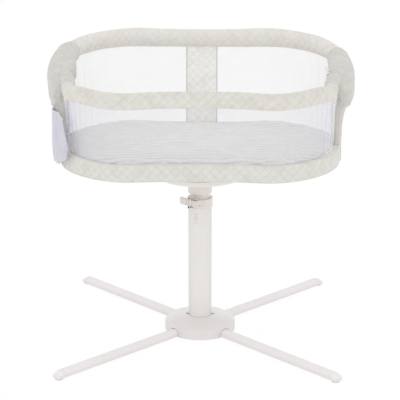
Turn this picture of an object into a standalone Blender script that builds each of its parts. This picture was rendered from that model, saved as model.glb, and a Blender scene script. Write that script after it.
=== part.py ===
"""Free-standing swivel bassinet: X base, telescoping column with a quick-release clamp, swivel dish
and an oval bed with mesh walls, a fixed rear rail and a hinged front rail with return springs.

Metres, +Z up. The origin is on the floor, on the column's axis. +X runs along the bed and is its
right end; -Y is the front. Z0 and Z1 in a name are the bottom and the top of a piece.
"""

import math
from collections import namedtuple

import bmesh
import bpy
from mathutils import Matrix, Vector

# ---------------------------------------------------------------- shared dimensions
GAP = 0.0003  # clearance between neighbouring pieces
AXIS = Vector((0, 0, 0))  # foot of the column's axis
SIDES = {"right": 1, "left": -1}  # sign of x

OUTER_R, OUTER_WALL = 0.0374, 0.0018
OUTER_Z0, OUTER_Z1 = 0.0093, 0.4300
INNER_R, INNER_WALL = 0.0300, 0.0016
INNER_Z0, INNER_Z1 = 0.0620, 0.4850
SWIVEL_BOLT_R = 0.0060
SWIVEL_BORE_R = SWIVEL_BOLT_R + GAP

# Plans of the bed and rails: |x/half_x|^power + |y/half_y|^2 = 1, drawn in at the waist
Plan = namedtuple("Plan", "half_x half_y power waist")
BED = Plan(0.4243, 0.3100, 3.0, 0.129)
MATTRESS = BED._replace(half_x=0.3945, half_y=0.2935)
REAR = Plan(0.442, 0.325, 2.6, 0.130)
FRONT = Plan(0.395, 0.352, 2.6, 0.225)
WAIST_X = 0.19  # reach of the waist along x

RAIL_WALL = 0.0014  # wall of both rail tubes
COVER_PLAY = 0.0006  # between a rail tube and its padding, and around the strut
REAR_TUBE_R = 0.0080
POST_X, POST_PIN_Z = 0.4065, 0.583
POST_HOLE_R = 0.0024

SEG, SEG_WIDE, SEG_SMALL = 24, 32, 8
SEG_HOLE, SEG_PEG = 12, 16
SEG_CROSS = 10
BED_CORNERS = 44
PLAN_STEPS = 1440

# ---------------------------------------------------------------- scene, collections, materials
for old in list(bpy.data.objects):
    bpy.data.objects.remove(old, do_unlink=True)

PARTS = bpy.data.collections.new("swivel_bassinet")
CUTTERS = bpy.data.collections.new("cutters")
for group in (PARTS, CUTTERS):
    bpy.context.scene.collection.children.link(group)
CUTTERS.hide_render = True

# colour (red, green, blue), roughness, metallic
FINISH = {
    "painted_steel": ((0.80, 0.78, 0.75), 0.35, 0.0),
    "hub_plastic": ((0.78, 0.76, 0.74), 0.40, 0.0),
    "dish_plastic": ((0.76, 0.74, 0.71), 0.45, 0.0),
    "neck_plastic": ((0.68, 0.62, 0.58), 0.50, 0.0),
    "inner_paint": ((0.72, 0.70, 0.67), 0.35, 0.0),
    "clamp_plastic": ((0.68, 0.66, 0.61), 0.45, 0.0),
    "tray_plastic": ((0.70, 0.70, 0.68), 0.50, 0.0),
    "quilted_fabric": ((0.70, 0.68, 0.63), 0.90, 0.0),
    "panel_fabric": ((0.76, 0.75, 0.72), 0.90, 0.0),
    "sheet_fabric": ((0.75, 0.74, 0.72), 0.85, 0.0),
    "mesh_fabric": ((0.85, 0.85, 0.88), 0.80, 0.0),
    "steel": ((0.55, 0.55, 0.56), 0.30, 1.0),
    "rubber": ((0.20, 0.20, 0.20), 0.85, 0.0),
    "nylon": ((0.80, 0.80, 0.78), 0.50, 0.0),
    "hardboard": ((0.45, 0.35, 0.25), 0.80, 0.0),
}


def finish(obj, key):
    """Each object gets a material of its own, named for it."""
    colour, roughness, metallic = FINISH[key]
    made = bpy.data.materials.new(f"{obj.name}_{key}")
    made.use_nodes = True
    shader = made.node_tree.nodes["Principled BSDF"]
    shader.inputs["Base Color"].default_value = (*colour, 1.0)
    shader.inputs["Roughness"].default_value = roughness
    shader.inputs["Metallic"].default_value = metallic
    made.diffuse_color = (*colour, 1.0)
    obj.data.materials.clear()
    obj.data.materials.append(made)


# ---------------------------------------------------------------- building tools
def link(name, mesh, key=None, shade=True):
    """A part with the finish of key, or a hidden cutter when there is no key."""
    obj = bpy.data.objects.new(name, mesh)
    if key is None:
        CUTTERS.objects.link(obj)
        obj.hide_render = True
        obj.display_type = "WIRE"
        return obj
    PARTS.objects.link(obj)
    finish(obj, key)
    if shade:
        mesh.shade_smooth()
        mesh.set_sharp_from_angle(angle=math.radians(40))
    return obj


def to_mesh(name, shape):
    mesh = bpy.data.meshes.new(name)
    shape.to_mesh(mesh)
    shape.free()
    return mesh


def turned(name, profile, key, steps=SEG):
    """A closed loop of (radius, height) points turned about the column's axis."""
    shape = bmesh.new()
    points = [shape.verts.new((radius, 0.0, z)) for radius, z in profile]
    for start, end in zip(points, points[1:] + points[:1]):
        shape.edges.new((start, end))
    obj = link(name, to_mesh(name, shape), key, shade=False)
    screw = obj.modifiers.new("turn", "SCREW")
    screw.angle = 2 * math.pi
    screw.steps = screw.render_steps = steps
    screw.use_merge_vertices = True
    screw.merge_threshold = 0.00001
    screw.use_smooth_shade = True
    return obj


def ring(name, r_out, r_in, z0, z1, key, steps=SEG):
    return turned(name, [(r_out, z1), (r_out, z0), (r_in, z0), (r_in, z1)], key, steps)


def rod(name, start, end, radius, key=None, segments=SEG_SMALL):
    """A round bar between two points. Six segments make a nut."""
    start, end = Vector(start), Vector(end)
    axis = end - start
    turn = axis.to_track_quat("Z", "Y").to_matrix().to_4x4()
    shape = bmesh.new()
    bmesh.ops.create_cone(
        shape, cap_ends=True, segments=segments, radius1=radius, radius2=radius,
        depth=axis.length, matrix=Matrix.Translation((start + end) / 2) @ turn,
    )
    return link(name, to_mesh(name, shape), key)


def upright(name, foot, z0, z1, radius, key=None, segments=SEG_SMALL):
    """An upright rod over the floor point foot."""
    return rod(name, foot + Vector((0, 0, z0)), foot + Vector((0, 0, z1)), radius, key, segments)


def block(name, low, high, place=Matrix.Identity(4)):
    """A box-shaped cutter between two corners given in the frame of place."""
    low, high = Vector(low), Vector(high)
    middle = Matrix.Translation((low + high) / 2)
    shape = bmesh.new()
    size = Matrix.Diagonal((*(high - low), 1.0))
    bmesh.ops.create_cube(shape, size=1.0, matrix=place @ middle @ size)
    return link(name, to_mesh(name, shape))


def boolean(obj, other, operation):
    change = obj.modifiers.new(f"{operation.lower()}_{other.name}", "BOOLEAN")
    change.operation = operation
    change.solver = "EXACT"
    change.object = other


def cut(obj, *others):
    for other in others:
        boolean(obj, other, "DIFFERENCE")


def join(obj, *others):
    for other in others:
        boolean(obj, other, "UNION")


def round_edges(obj, width):
    edge = obj.modifiers.new("rounded_edges", "BEVEL")
    edge.width = width
    edge.segments = 2
    edge.limit_method = "ANGLE"
    edge.angle_limit = math.radians(35)


def solidify(obj, thickness):
    """Gives an outward-facing sheet its thickness on the inner side."""
    shell = obj.modifiers.new("thickness", "SOLIDIFY")
    shell.thickness = thickness
    shell.offset = -1.0
    shell.use_even_offset = True


def sweep(name, points, radii, key=None, resolution=3):
    """A round bar along points, with a radius at each, made from a curve with filled caps."""
    curve = bpy.data.curves.new(name + "_path", "CURVE")
    curve.dimensions = "3D"
    widest = max(radii)
    curve.bevel_depth = widest
    curve.bevel_resolution = resolution
    curve.use_fill_caps = True
    spline = curve.splines.new("POLY")
    spline.points.add(len(points) - 1)
    for knot, point, radius in zip(spline.points, points, radii):
        knot.co = (*point, 1.0)
        knot.radius = radius / widest
    guide = bpy.data.objects.new(name + "_path", curve)
    CUTTERS.objects.link(guide)
    bpy.context.view_layer.update()
    evaluated = guide.evaluated_get(bpy.context.evaluated_depsgraph_get())
    mesh = bpy.data.meshes.new_from_object(evaluated)
    # weld the caps to the bar so that it is one closed solid
    shape = bmesh.new()
    shape.from_mesh(mesh)
    bmesh.ops.remove_doubles(shape, verts=shape.verts, dist=0.00001)
    bmesh.ops.recalc_face_normals(shape, faces=shape.faces)
    shape.to_mesh(mesh)
    shape.free()
    bpy.data.objects.remove(guide, do_unlink=True)
    bpy.data.curves.remove(curve)
    mesh.name = name
    return link(name, mesh, key)


def bar(name, points, radius, key=None, resolution=2):
    """A sweep of one radius."""
    return sweep(name, points, [radius] * len(points), key, resolution)


def loft(name, rows, key=None, closed_rows=True, caps=False):
    """Quads between rows of points. Closed rows are rings; caps fill the first and last ring."""
    shape = bmesh.new()
    made = [[shape.verts.new(point) for point in row] for row in rows]
    count = len(rows[0])
    for low, high in zip(made, made[1:]):
        for i in range(count if closed_rows else count - 1):
            j = (i + 1) % count
            shape.faces.new((low[i], low[j], high[j], high[i]))
    if caps:
        shape.faces.new(list(reversed(made[0])))
        shape.faces.new(made[-1])
        bmesh.ops.recalc_face_normals(shape, faces=shape.faces)
    else:
        # an open sheet faces away from the column's axis
        shape.normal_update()
        lean = 0.0
        for face in shape.faces:
            middle = face.calc_center_median()
            lean += face.normal.x * middle.x + face.normal.y * middle.y
        if lean < 0:
            bmesh.ops.reverse_faces(shape, faces=shape.faces)
    return link(name, to_mesh(name, shape), key)


# ---------------------------------------------------------------- plans of the bed and the rails
def plan_point(angle, plan):
    cosine, sine = math.cos(angle), math.sin(angle)
    x = plan.half_x * math.copysign(abs(cosine) ** (2.0 / plan.power), cosine)
    y = plan.half_y * sine * (1.0 - plan.waist * math.exp(-((x / WAIST_X) ** 4)))
    return x, y


def lengths_along(points):
    """The length from the first point to each point of a polyline."""
    along = [0.0]
    for start, end in zip(points, points[1:]):
        along.append(along[-1] + (end - start).length)
    return along


def even(points, count):
    """count points spread evenly by length along a dense polyline."""
    along = lengths_along(points)
    out, k = [], 0
    for i in range(count):
        target = along[-1] * i / (count - 1)
        while k < len(points) - 2 and along[k + 1] < target:
            k += 1
        span = along[k + 1] - along[k]
        out.append(points[k].lerp(points[k + 1], (target - along[k]) / span if span else 0.0))
    return out


def bed_ring(plan, inset, z):
    """A plan moved inwards, at a height. Its corners stay in line whatever the inset."""
    angles = [2 * math.pi * i / PLAN_STEPS for i in range(PLAN_STEPS)]
    dense = [Vector((*plan_point(angle, plan), 0.0)) for angle in angles]
    along = lengths_along(dense + dense[:1])
    out = []
    for i in range(BED_CORNERS):
        target = along[-1] * i / BED_CORNERS
        k = min(range(PLAN_STEPS), key=lambda index: abs(along[index] - target))
        way = dense[(k + 1) % PLAN_STEPS] - dense[k - 1]
        moved = dense[k] + Vector((-way.y, way.x, 0.0)).normalized() * inset
        out.append((moved.x, moved.y, z))
    return out


def ease(low, high, value):
    """Rises smoothly from 0 at low to 1 at high."""
    u = min(max((value - low) / (high - low), 0.0), 1.0)
    return u * u * (3 - 2 * u)


# ---------------------------------------------------------------- base
LEGS = {name: math.radians(angle) for name, angle in (
    ("front_left", 225), ("front_right", 315), ("rear_right", 45), ("rear_left", 135))}
LEG_TIP = 0.5657  # centre of the foot pad from the axis, along the leg
LEG_START = 0.062
LEG_W, LEG_H, LEG_WALL = 0.036, 0.021, 0.0016
LEG_SIDE_H = 0.0055  # straight side below the arc
LEG_ARC_STEPS = 8
LEG_Z = 0.0050  # underside of the legs
CAP_START = LEG_TIP - 0.010
LEG_SCREW_AT, LEG_HOLE_R = 0.086, 0.0034  # screw centre from the axis; its hole
FOOT_PAD_R = 0.0125
HUB_R, HUB_RIM_Z, HUB_TOP_Z = 0.111, 0.0305, 0.0480
HUB_EYE_R, HUB_WALL = 0.0382, 0.0026
HUB_Z0 = 0.0022
CROSS_BOLT_Z = 0.0225

# (radius, height): over the top, down the rim, then back under the wall
HUB_PROFILE = [
    (HUB_EYE_R, HUB_TOP_Z), (0.055, 0.0465), (0.075, 0.0425), (0.095, 0.0370),
    (0.106, HUB_RIM_Z + 0.0022), (HUB_R - 0.0008, HUB_RIM_Z - 0.0015),
    (HUB_R, HUB_RIM_Z - 0.006), (HUB_R, HUB_Z0),
    (HUB_R - HUB_WALL, HUB_Z0), (HUB_R - HUB_WALL, HUB_RIM_Z - 0.0040),
    (0.1045, HUB_RIM_Z - 0.0005), (0.075, 0.0397), (HUB_EYE_R, 0.0450),
]
# (radius, height) of the flanged cup that holds the foot of the column
SOCKET_PROFILE = [
    (0.0352, 0.0430), (0.0352, 0.0090), (0.0550, 0.0090), (0.0550, 0.0050),
    (0.0140, 0.0050), (0.0140, 0.0080), (0.0325, 0.0100), (0.0325, 0.0430),
]
# (distance past CAP_START, narrowing of the half width) along a leg's end cap
CAP_STATIONS = [(0.0, 0.0), (0.016, 0.0), (0.0215, 0.0022), (0.0240, 0.0065)]


def leg_section(inset=0.0):
    """Points (y, height) of a half-round section, flat below, wider than high."""
    half, height = LEG_W / 2 - inset, LEG_H - inset
    points = [(-half, inset), (half, inset)]
    for i in range(LEG_ARC_STEPS + 1):
        angle = math.pi * i / LEG_ARC_STEPS
        rise = (height - LEG_SIDE_H) * math.sin(angle)
        points.append((half * math.cos(angle), LEG_SIDE_H + rise))
    return points


def leg_row(section, radius, angle):
    """A leg section stood across the leg, at a distance from the axis."""
    turn = Matrix.Rotation(angle, 4, "Z")
    return [turn @ Vector((radius, -y, LEG_Z + height)) for y, height in section]


def leg_prism(name, section, start, end, angle, key=None):
    rows = [leg_row(section, radius, angle) for radius in (start, end)]
    return loft(name, rows, key, caps=True)


def cut_hub_arch(hub, name, angle):
    """The arch in the hub cover over a leg."""
    half, foot = LEG_W / 2 + 0.0008, -0.006
    section = [(-half, foot), (half, foot)]
    section += [(y * 1.045, height + 0.0009) for y, height in leg_section()[2:]]
    cut(hub, leg_prism(f"arch_cutter_{name}", section, 0.092, 0.125, angle))


def make_leg(name, angle, screw_at, plate):
    """The hollow leg, with a screw hole through its lower wall and the base plate."""
    leg = leg_prism(
        f"leg_{name}", leg_section(), LEG_START, CAP_START - GAP, angle, "painted_steel")
    cut(leg, leg_prism(
        f"leg_bore_{name}", leg_section(LEG_WALL), LEG_START - 0.01, CAP_START + 0.01, angle))
    hole = upright(
        f"leg_screw_hole_{name}", screw_at, -0.01, LEG_Z + 0.008, LEG_HOLE_R, segments=SEG_HOLE)
    cut(leg, hole)
    cut(plate, hole)


def make_leg_screw(name, screw_at):
    screw = upright(f"leg_screw_{name}", screw_at, 0.0019, 0.0150, 0.0030, "steel")
    join(screw, upright(
        f"leg_screw_head_{name}", screw_at, 0.0004, 0.0020, 0.0055, segments=SEG_HOLE))


def make_leg_cap(name, angle):
    """The end cap, rounded down towards the tip, with a spigot inside the leg."""
    rows = []
    for past, shrink in CAP_STATIONS:
        wide, high = 1 - shrink / (LEG_W / 2), 1 - shrink * 1.6 / LEG_H
        section = [(y * wide, height * high) for y, height in leg_section()]
        rows.append(leg_row(section, CAP_START + past, angle))
    cap = loft(f"leg_end_cap_{name}", rows, "hub_plastic", caps=True)
    join(cap, leg_prism(
        f"leg_cap_spigot_{name}", leg_section(LEG_WALL + GAP),
        CAP_START - 0.022, CAP_START + 0.002, angle))


def cut_hub_notches(hub):
    """Small notches either side of the column."""
    half_x, half_y = 0.0035, 0.0045
    for side in (-1, 1):
        middle = side * 0.0395
        cut(hub, block(
            f"hub_notch_{side + 1}",
            (middle - half_x, -half_y, 0.040), (middle + half_x, half_y, 0.055)))


def make_base():
    hub = turned("hub_cover", HUB_PROFILE, "hub_plastic", SEG_WIDE)
    plate = ring("hub_base_plate", 0.1080, 0.0120, HUB_Z0, 0.0046, "painted_steel", SEG_WIDE)
    for name, angle in LEGS.items():
        out = Vector((math.cos(angle), math.sin(angle), 0.0))
        cut_hub_arch(hub, name, angle)
        make_leg(name, angle, out * LEG_SCREW_AT, plate)
        make_leg_screw(name, out * LEG_SCREW_AT)
        make_leg_cap(name, angle)
        upright(
            f"foot_pad_{name}", out * LEG_TIP, 0, LEG_Z - GAP, FOOT_PAD_R, "rubber", SEG_PEG)
    cut_hub_notches(hub)


def cross_bolt(name, half_length, radius, key=None, segments=SEG_SMALL):
    """A rod along x through the foot of the column."""
    start, end = (-half_length, 0, CROSS_BOLT_Z), (half_length, 0, CROSS_BOLT_Z)
    return rod(name, start, end, radius, key, segments)


def make_outer_column():
    bore_r = OUTER_R - OUTER_WALL
    socket = turned("column_socket", SOCKET_PROFILE, "steel")
    tube = ring("outer_column_tube", OUTER_R, bore_r, OUTER_Z0, OUTER_Z1, "painted_steel")
    hole = cross_bolt("column_bolt_hole", 0.06, 0.0034, segments=SEG_HOLE)
    cut(tube, hole)
    cut(socket, hole)
    cross_bolt("column_cross_bolt", 0.0410, 0.0030, "steel")
    ring("column_guide_bush", bore_r - GAP, INNER_R + GAP, 0.3520, 0.4020, "nylon")


# ---------------------------------------------------------------- clamp
# A split collar, its two ears in one block beside the column, and a lever on an upright pin.
# The clamp frame stands at the pin: x along the block, +y towards the column.
CLAMP_PIN = Vector((-0.0345, -0.0345, 0.0))
CLAMP_END = Vector((0.0020, -0.0575, 0.0))
CLAMP_WAY = CLAMP_END - CLAMP_PIN
CLAMP = Matrix.Translation(CLAMP_PIN) @ Matrix.Rotation(
    math.atan2(CLAMP_WAY.y, CLAMP_WAY.x), 4, "Z")
COLUMN_Y = (CLAMP.inverted() @ AXIS).y  # distance from the block's line to the column's axis
CLAMP_Z0, CLAMP_Z1 = 0.4090, 0.4310
CLAMP_MID_Z = (CLAMP_Z0 + CLAMP_Z1) / 2
PIN_R = 0.0022
COLLAR_Z0, COLLAR_Z1, COLLAR_R = 0.4050, 0.4340, 0.0415
COLLAR_MOUTH_R = INNER_R + 0.0006
EAR_PLATE_T = 0.003
BARREL_INSET = 0.0034  # lever barrel inside the clamp's height, top and bottom

# (radius, height) of the collar, with a lip over the top of the outer tube
COLLAR_PROFILE = [
    (COLLAR_R - 0.0008, COLLAR_Z1), (COLLAR_R, COLLAR_Z1 - 0.0012), (COLLAR_R, COLLAR_Z0),
    (OUTER_R + GAP, COLLAR_Z0), (OUTER_R + GAP, OUTER_Z1 + GAP),
    (COLLAR_MOUTH_R, OUTER_Z1 + GAP), (COLLAR_MOUTH_R, COLLAR_Z1),
]


def clamp_rod(name, start, end, radius, key=None, segments=SEG_CROSS):
    """A rod along the clamp frame's x, at mid height."""
    ends = [CLAMP @ Vector((x, 0, CLAMP_MID_Z)) for x in (start, end)]
    return rod(name, *ends, radius, key, segments)


def make_collar(pin_hole):
    collar = turned("clamp_collar", COLLAR_PROFILE, "clamp_plastic")
    join(collar, block(
        "clamp_ears", (0.0070, -0.0070, CLAMP_Z0), (0.0430, COLUMN_Y - 0.0386, CLAMP_Z1), CLAMP))
    for label, z0 in (("top", CLAMP_Z1 - EAR_PLATE_T), ("bottom", CLAMP_Z0)):
        join(collar, block(
            f"clamp_ear_plate_{label}",
            (-0.0045, -0.0045, z0), (0.0100, 0.0045, z0 + EAR_PLATE_T), CLAMP))
    cut(
        collar,
        block("clamp_slit",
              (0.0157, -0.03, COLLAR_Z0 - 0.01), (0.0173, 0.0170, COLLAR_Z1 + 0.01), CLAMP),
        clamp_rod("clamp_bolt_hole", 0.001, 0.06, 0.0027),
        pin_hole,
    )


def make_clamp_bolt(pin_hole):
    """The bolt along the block, with an eye round the pin, and its nut."""
    bolt = clamp_rod("clamp_bolt", 0.0030, 0.0490, 0.0022, "steel")
    join(bolt, upright(
        "clamp_bolt_eye", CLAMP_PIN, CLAMP_MID_Z - 0.0027, CLAMP_MID_Z + 0.0027, 0.0046,
        segments=SEG_HOLE))
    cut(bolt, pin_hole)
    nut = clamp_rod("clamp_nut", 0.0434, 0.0470, 0.0048, "steel", 6)
    cut(nut, clamp_rod("clamp_nut_hole", 0.04, 0.06, 0.0025))


def make_lever(pin_hole):
    """A barrel on the pin, a root, a rounded paddle, and a slot for the bolt's eye."""
    z0, z1 = CLAMP_Z0 + BARREL_INSET, CLAMP_Z1 - BARREL_INSET
    lever = upright("clamp_lever", CLAMP_PIN, z0, z1, 0.0056, "clamp_plastic", 20)
    # the lever's origin is on its pin
    lever.data.transform(Matrix.Translation(-CLAMP_PIN))
    lever.location = CLAMP_PIN
    root = block("lever_root", (-0.0120, -0.0032, z0), (-0.0030, 0.0032, z1), CLAMP)
    paddle = block(
        "lever_paddle",
        (-0.0300, -0.0036, CLAMP_Z0 + 0.0002), (-0.0070, 0.0036, CLAMP_Z1 - 0.0002), CLAMP)
    round_edges(paddle, 0.0022)
    join(lever, root, paddle)
    slot = block(
        "lever_slot",
        (-0.0056, -0.02, CLAMP_MID_Z - 0.0031), (0.02, 0.02, CLAMP_MID_Z + 0.0031), CLAMP)
    cut(lever, slot, pin_hole)


def make_clamp():
    pin_hole = upright(
        "clamp_pin_hole", CLAMP_PIN, 0.39, 0.45, PIN_R + GAP, segments=SEG_HOLE)
    make_collar(pin_hole)
    upright("lever_pin", CLAMP_PIN, CLAMP_Z0 - 0.0015, CLAMP_Z1 + 0.0015, PIN_R, "steel")
    make_clamp_bolt(pin_hole)
    make_lever(pin_hole)


# ---------------------------------------------------------------- sliding column and lower dish
NECK_R, NECK_Z0, NECK_Z1 = 0.0365, 0.4520, 0.4997
DISH_R = 0.1325
DISH_Z0, DISH_SEAM_Z, DISH_Z1 = 0.5003, 0.5165, 0.5545
DISH_HUB_R = 0.0580  # thick middle of both dishes
GLIDE_R = INNER_R - INNER_WALL - GAP

# (radius, height) profiles
GLIDE_PROFILE = [
    (0.0350, INNER_Z0 - GAP), (0.0350, 0.0500), (0.0200, 0.0500), (0.0200, 0.0800),
    (GLIDE_R, 0.0800), (GLIDE_R, INNER_Z0 - GAP),
]
NECK_PROFILE = [
    (NECK_R, NECK_Z1), (NECK_R, NECK_Z0 + 0.003), (NECK_R - 0.0015, NECK_Z0),
    (INNER_R + GAP, NECK_Z0), (INNER_R + GAP, INNER_Z1 + GAP),
    (SWIVEL_BORE_R, INNER_Z1 + GAP), (SWIVEL_BORE_R, NECK_Z1),
]
LOWER_DISH_PROFILE = [
    (DISH_R, DISH_SEAM_Z - 0.0005), (DISH_R - 0.001, 0.5050), (DISH_R - 0.0045, DISH_Z0),
    (SWIVEL_BORE_R, DISH_Z0), (SWIVEL_BORE_R, 0.5160), (DISH_HUB_R, 0.5160),
    (DISH_HUB_R, 0.5035), (DISH_R - 0.0060, 0.5035), (DISH_R - 0.0035, 0.5065),
    (DISH_R - 0.0026, DISH_SEAM_Z - 0.0005),
]
UPPER_DISH_PROFILE = [
    (0.1400, DISH_Z1), (0.1372, 0.5440), (0.1345, 0.5300), (DISH_R + 0.0005, 0.5175),
    (DISH_R - 0.0025, 0.5175), (0.1318, 0.5300), (0.1345, 0.5440), (0.1360, 0.5515),
    (DISH_HUB_R, 0.5515), (DISH_HUB_R, 0.5190), (SWIVEL_BORE_R, 0.5190),
    (SWIVEL_BORE_R, DISH_Z1),
]


def make_swivel_bolt():
    bolt = upright("swivel_bolt", AXIS, 0.4700, 0.5600, SWIVEL_BOLT_R, "steel", SEG_PEG)
    join(bolt, upright("swivel_bolt_head", AXIS, 0.5584, 0.5640, 0.0110, segments=6))
    nut = upright("swivel_nut", AXIS, 0.4760, 0.4850, 0.0115, "steel", 6)
    cut(nut, upright("swivel_nut_hole", AXIS, 0.46, 0.50, SWIVEL_BORE_R, segments=SEG_PEG))


def make_sliding_column():
    ring("inner_column_tube", INNER_R, INNER_R - INNER_WALL, INNER_Z0, INNER_Z1, "inner_paint")
    turned("inner_tube_glide", GLIDE_PROFILE, "nylon")
    turned("dish_neck", NECK_PROFILE, "neck_plastic")
    turned("swivel_dish_lower", LOWER_DISH_PROFILE, "dish_plastic", SEG_WIDE)
    ring("swivel_bearing_ring", 0.0550, 0.0300, 0.5163, 0.5187, "nylon")
    make_swivel_bolt()


# ---------------------------------------------------------------- upper dish, tray and mattress
SKIRT_Z0, SKIRT_Z1, SKIRT_T = 0.5575, 0.6085, 0.0050
TRAY_Z0, TRAY_Z1, TRAY_T, TRAY_INSET = 0.5550, 0.6040, 0.0028, 0.0078
DISH_SCREW_AT = 0.105  # from the axis
# (height, inset) rings of the skirt and the mattress
SKIRT_RINGS = [(SKIRT_Z0, 0.0018), (0.5650, 0.0), (0.6015, 0.0), (SKIRT_Z1, 0.0018)]
MATTRESS_RINGS = [
    (0.5690, 0.003), (0.5740, 0.0), (0.6040, 0.0), (0.6095, 0.0022), (0.6120, 0.0075)]
BOARD_RINGS = [(0.5650, 0.001), (0.5685, 0.001)]


def bed_loft(name, plan, rings, key=None, caps=True):
    return loft(name, [bed_ring(plan, inset, z) for z, inset in rings], key, caps=caps)


def across_post(name, side, half_length, radius, key=None, segments=SEG_CROSS):
    """A rod along y through a post's foot."""
    start, end = [(side * POST_X, y, POST_PIN_Z) for y in (-half_length, half_length)]
    return rod(name, start, end, radius, key, segments)


def make_tray():
    """An oval pan with a bolt hole and a socket for each post."""
    walls = [(TRAY_Z0, TRAY_INSET), (TRAY_Z1, TRAY_INSET)]
    tray = bed_loft("bed_tray", BED, walls, "tray_plastic")
    pan_inset = TRAY_INSET + TRAY_T
    pan = [(TRAY_Z0 + TRAY_T, pan_inset), (TRAY_Z1 + 0.02, pan_inset)]
    cut(tray, bed_loft("tray_pan", BED, pan))
    cut(tray, upright("tray_bolt_hole", AXIS, 0.54, 0.57, SWIVEL_BORE_R, segments=SEG_PEG))
    feet = {side: Vector((side * POST_X, 0, 0)) for side in (-1, 1)}
    for side, foot in feet.items():
        join(tray, upright(
            f"post_boss_{side + 1}", foot, TRAY_Z0 + 0.001, 0.6000, 0.0099, segments=SEG_PEG))
    for side, foot in feet.items():
        cut(
            tray,
            upright(f"post_socket_bore_{side + 1}", foot, 0.5600, 0.62, REAR_TUBE_R + 0.0004,
                    segments=SEG_PEG),
            across_post(f"post_pin_hole_{side + 1}", side, 0.0155, POST_HOLE_R),
        )
    return tray


def make_dish_screws(tray, dish):
    """Three screws that fix the tray to the upper dish, the first at the back."""
    for i in range(3):
        angle = math.pi / 2 + i * math.tau / 3
        place = Vector((math.cos(angle), math.sin(angle), 0)) * DISH_SCREW_AT
        bore = upright(f"dish_screw_hole_{i}", place, 0.545, 0.575, 0.0026)
        cut(tray, bore)
        cut(dish, bore)
        screw = upright(f"dish_screw_{i + 1}", place, 0.5480, 0.5590, 0.0022, "steel")
        join(screw, upright(f"dish_screw_head_{i}", place, 0.5581, 0.5605, 0.0042))


def make_bed():
    dish = turned("swivel_dish_upper", UPPER_DISH_PROFILE, "dish_plastic", SEG_WIDE)
    tray = make_tray()
    for label, side in SIDES.items():
        across_post(f"post_cross_pin_{label}", side, 0.0130, 0.0020, "steel", SEG_SMALL)
    make_dish_screws(tray, dish)
    skirt = bed_loft("tray_skirt", BED, SKIRT_RINGS, "quilted_fabric", caps=False)
    solidify(skirt, SKIRT_T)
    bed_loft("mattress_board", MATTRESS, BOARD_RINGS, "hardboard")
    bed_loft("mattress", MATTRESS, MATTRESS_RINGS, "sheet_fabric")


# ---------------------------------------------------------------- rear rail, its padding and posts
# the rail's height falls from the back to the ends of the arms
REAR_TOP, ARM_FALL, ARM_RATE = 0.8885, 0.120, 10.2
REAR_PAD_R, REAR_PAD_LOBE, REAR_PAD_ARM, REAR_PAD_END = 0.0275, 0.0295, 0.0225, 0.0205
LOBE_X, LOBE_REACH = 0.20, 0.09  # the padding is thickest either side of the middle
POST_TOP_R, POST_MID_R, POST_FOOT_R = 0.0165, 0.0125, 0.0108

# (x, y, z) of the right post, from the arm's end down into the tray
POST_LINE = [
    (0.4395, -0.003, 0.755), (0.4345, -0.004, 0.738), (0.4190, -0.002, 0.705),
    (0.4105, 0.0, 0.640), (POST_X, 0.0, 0.600), (POST_X, 0.0, 0.5605),
]


def rear_point(angle):
    x, y = plan_point(angle, REAR)
    return Vector((x, y, REAR_TOP - ARM_FALL * math.exp(-ARM_RATE * y)))


def rear_rail(count):
    """From the right arm's end, round the back, to the left arm's end."""
    return even([rear_point(math.pi * i / 720) for i in range(721)], count)


def rear_pad_radius(point):
    lobe = math.exp(-(((abs(point.x) - LOBE_X) / LOBE_REACH) ** 2))
    back = ease(0.06, 0.22, point.y)
    widening = REAR_PAD_R - REAR_PAD_ARM + lobe * (REAR_PAD_LOBE - REAR_PAD_R)
    return REAR_PAD_ARM + back * widening


def post_points(side):
    return [Vector((side * x, y, z)) for x, y, z in POST_LINE]


def make_rear_tube(line):
    tube = bar("rear_rail_tube", line, REAR_TUBE_R, "painted_steel")
    beyond = Vector((0, 0, 0.01))
    longer = [line[0] - beyond] + line + [line[-1] - beyond]
    cut(tube, bar("rear_tube_bore", longer, REAR_TUBE_R - RAIL_WALL))
    for side in (-1, 1):
        cut(tube, across_post(f"tube_pin_hole_{side + 1}", side, 0.02, POST_HOLE_R))
    return tube


def make_rear_pad(rail, tube_line):
    right, left = [
        [Vector((side * 0.4340, -0.004, 0.7365)), post_points(side)[0]] for side in (1, -1)]
    ends = [REAR_PAD_END, REAR_PAD_END + 0.0003]
    radii = ends + [rear_pad_radius(point) for point in rail] + ends[::-1]
    pad = sweep("rear_rail_pad", right + rail + left[::-1], radii, "quilted_fabric")
    cut(pad, bar("rear_pad_bore", tube_line, REAR_TUBE_R + COVER_PLAY))
    return pad


def make_post_cover(label, side):
    """The tapering fabric cover on a post."""
    post = post_points(side)
    top = Vector((side * 0.4322, -0.0038, 0.7330))
    foot = Vector((side * POST_X, 0.0, 0.6118))
    radii = [POST_TOP_R, POST_TOP_R, POST_MID_R, POST_FOOT_R]
    cover = sweep(
        f"end_post_cover_{label}", [top, post[2], post[3], foot], radii, "quilted_fabric")
    cut(cover, bar(f"post_cover_bore_{label}", post, REAR_TUBE_R + COVER_PLAY))


def make_rear_rail():
    rail = rear_rail(25)
    tube_line = post_points(1)[::-1] + rail + post_points(-1)
    tube = make_rear_tube(tube_line)
    pad = make_rear_pad(rail, tube_line)
    for label, side in SIDES.items():
        make_post_cover(label, side)
    return tube, pad


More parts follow.
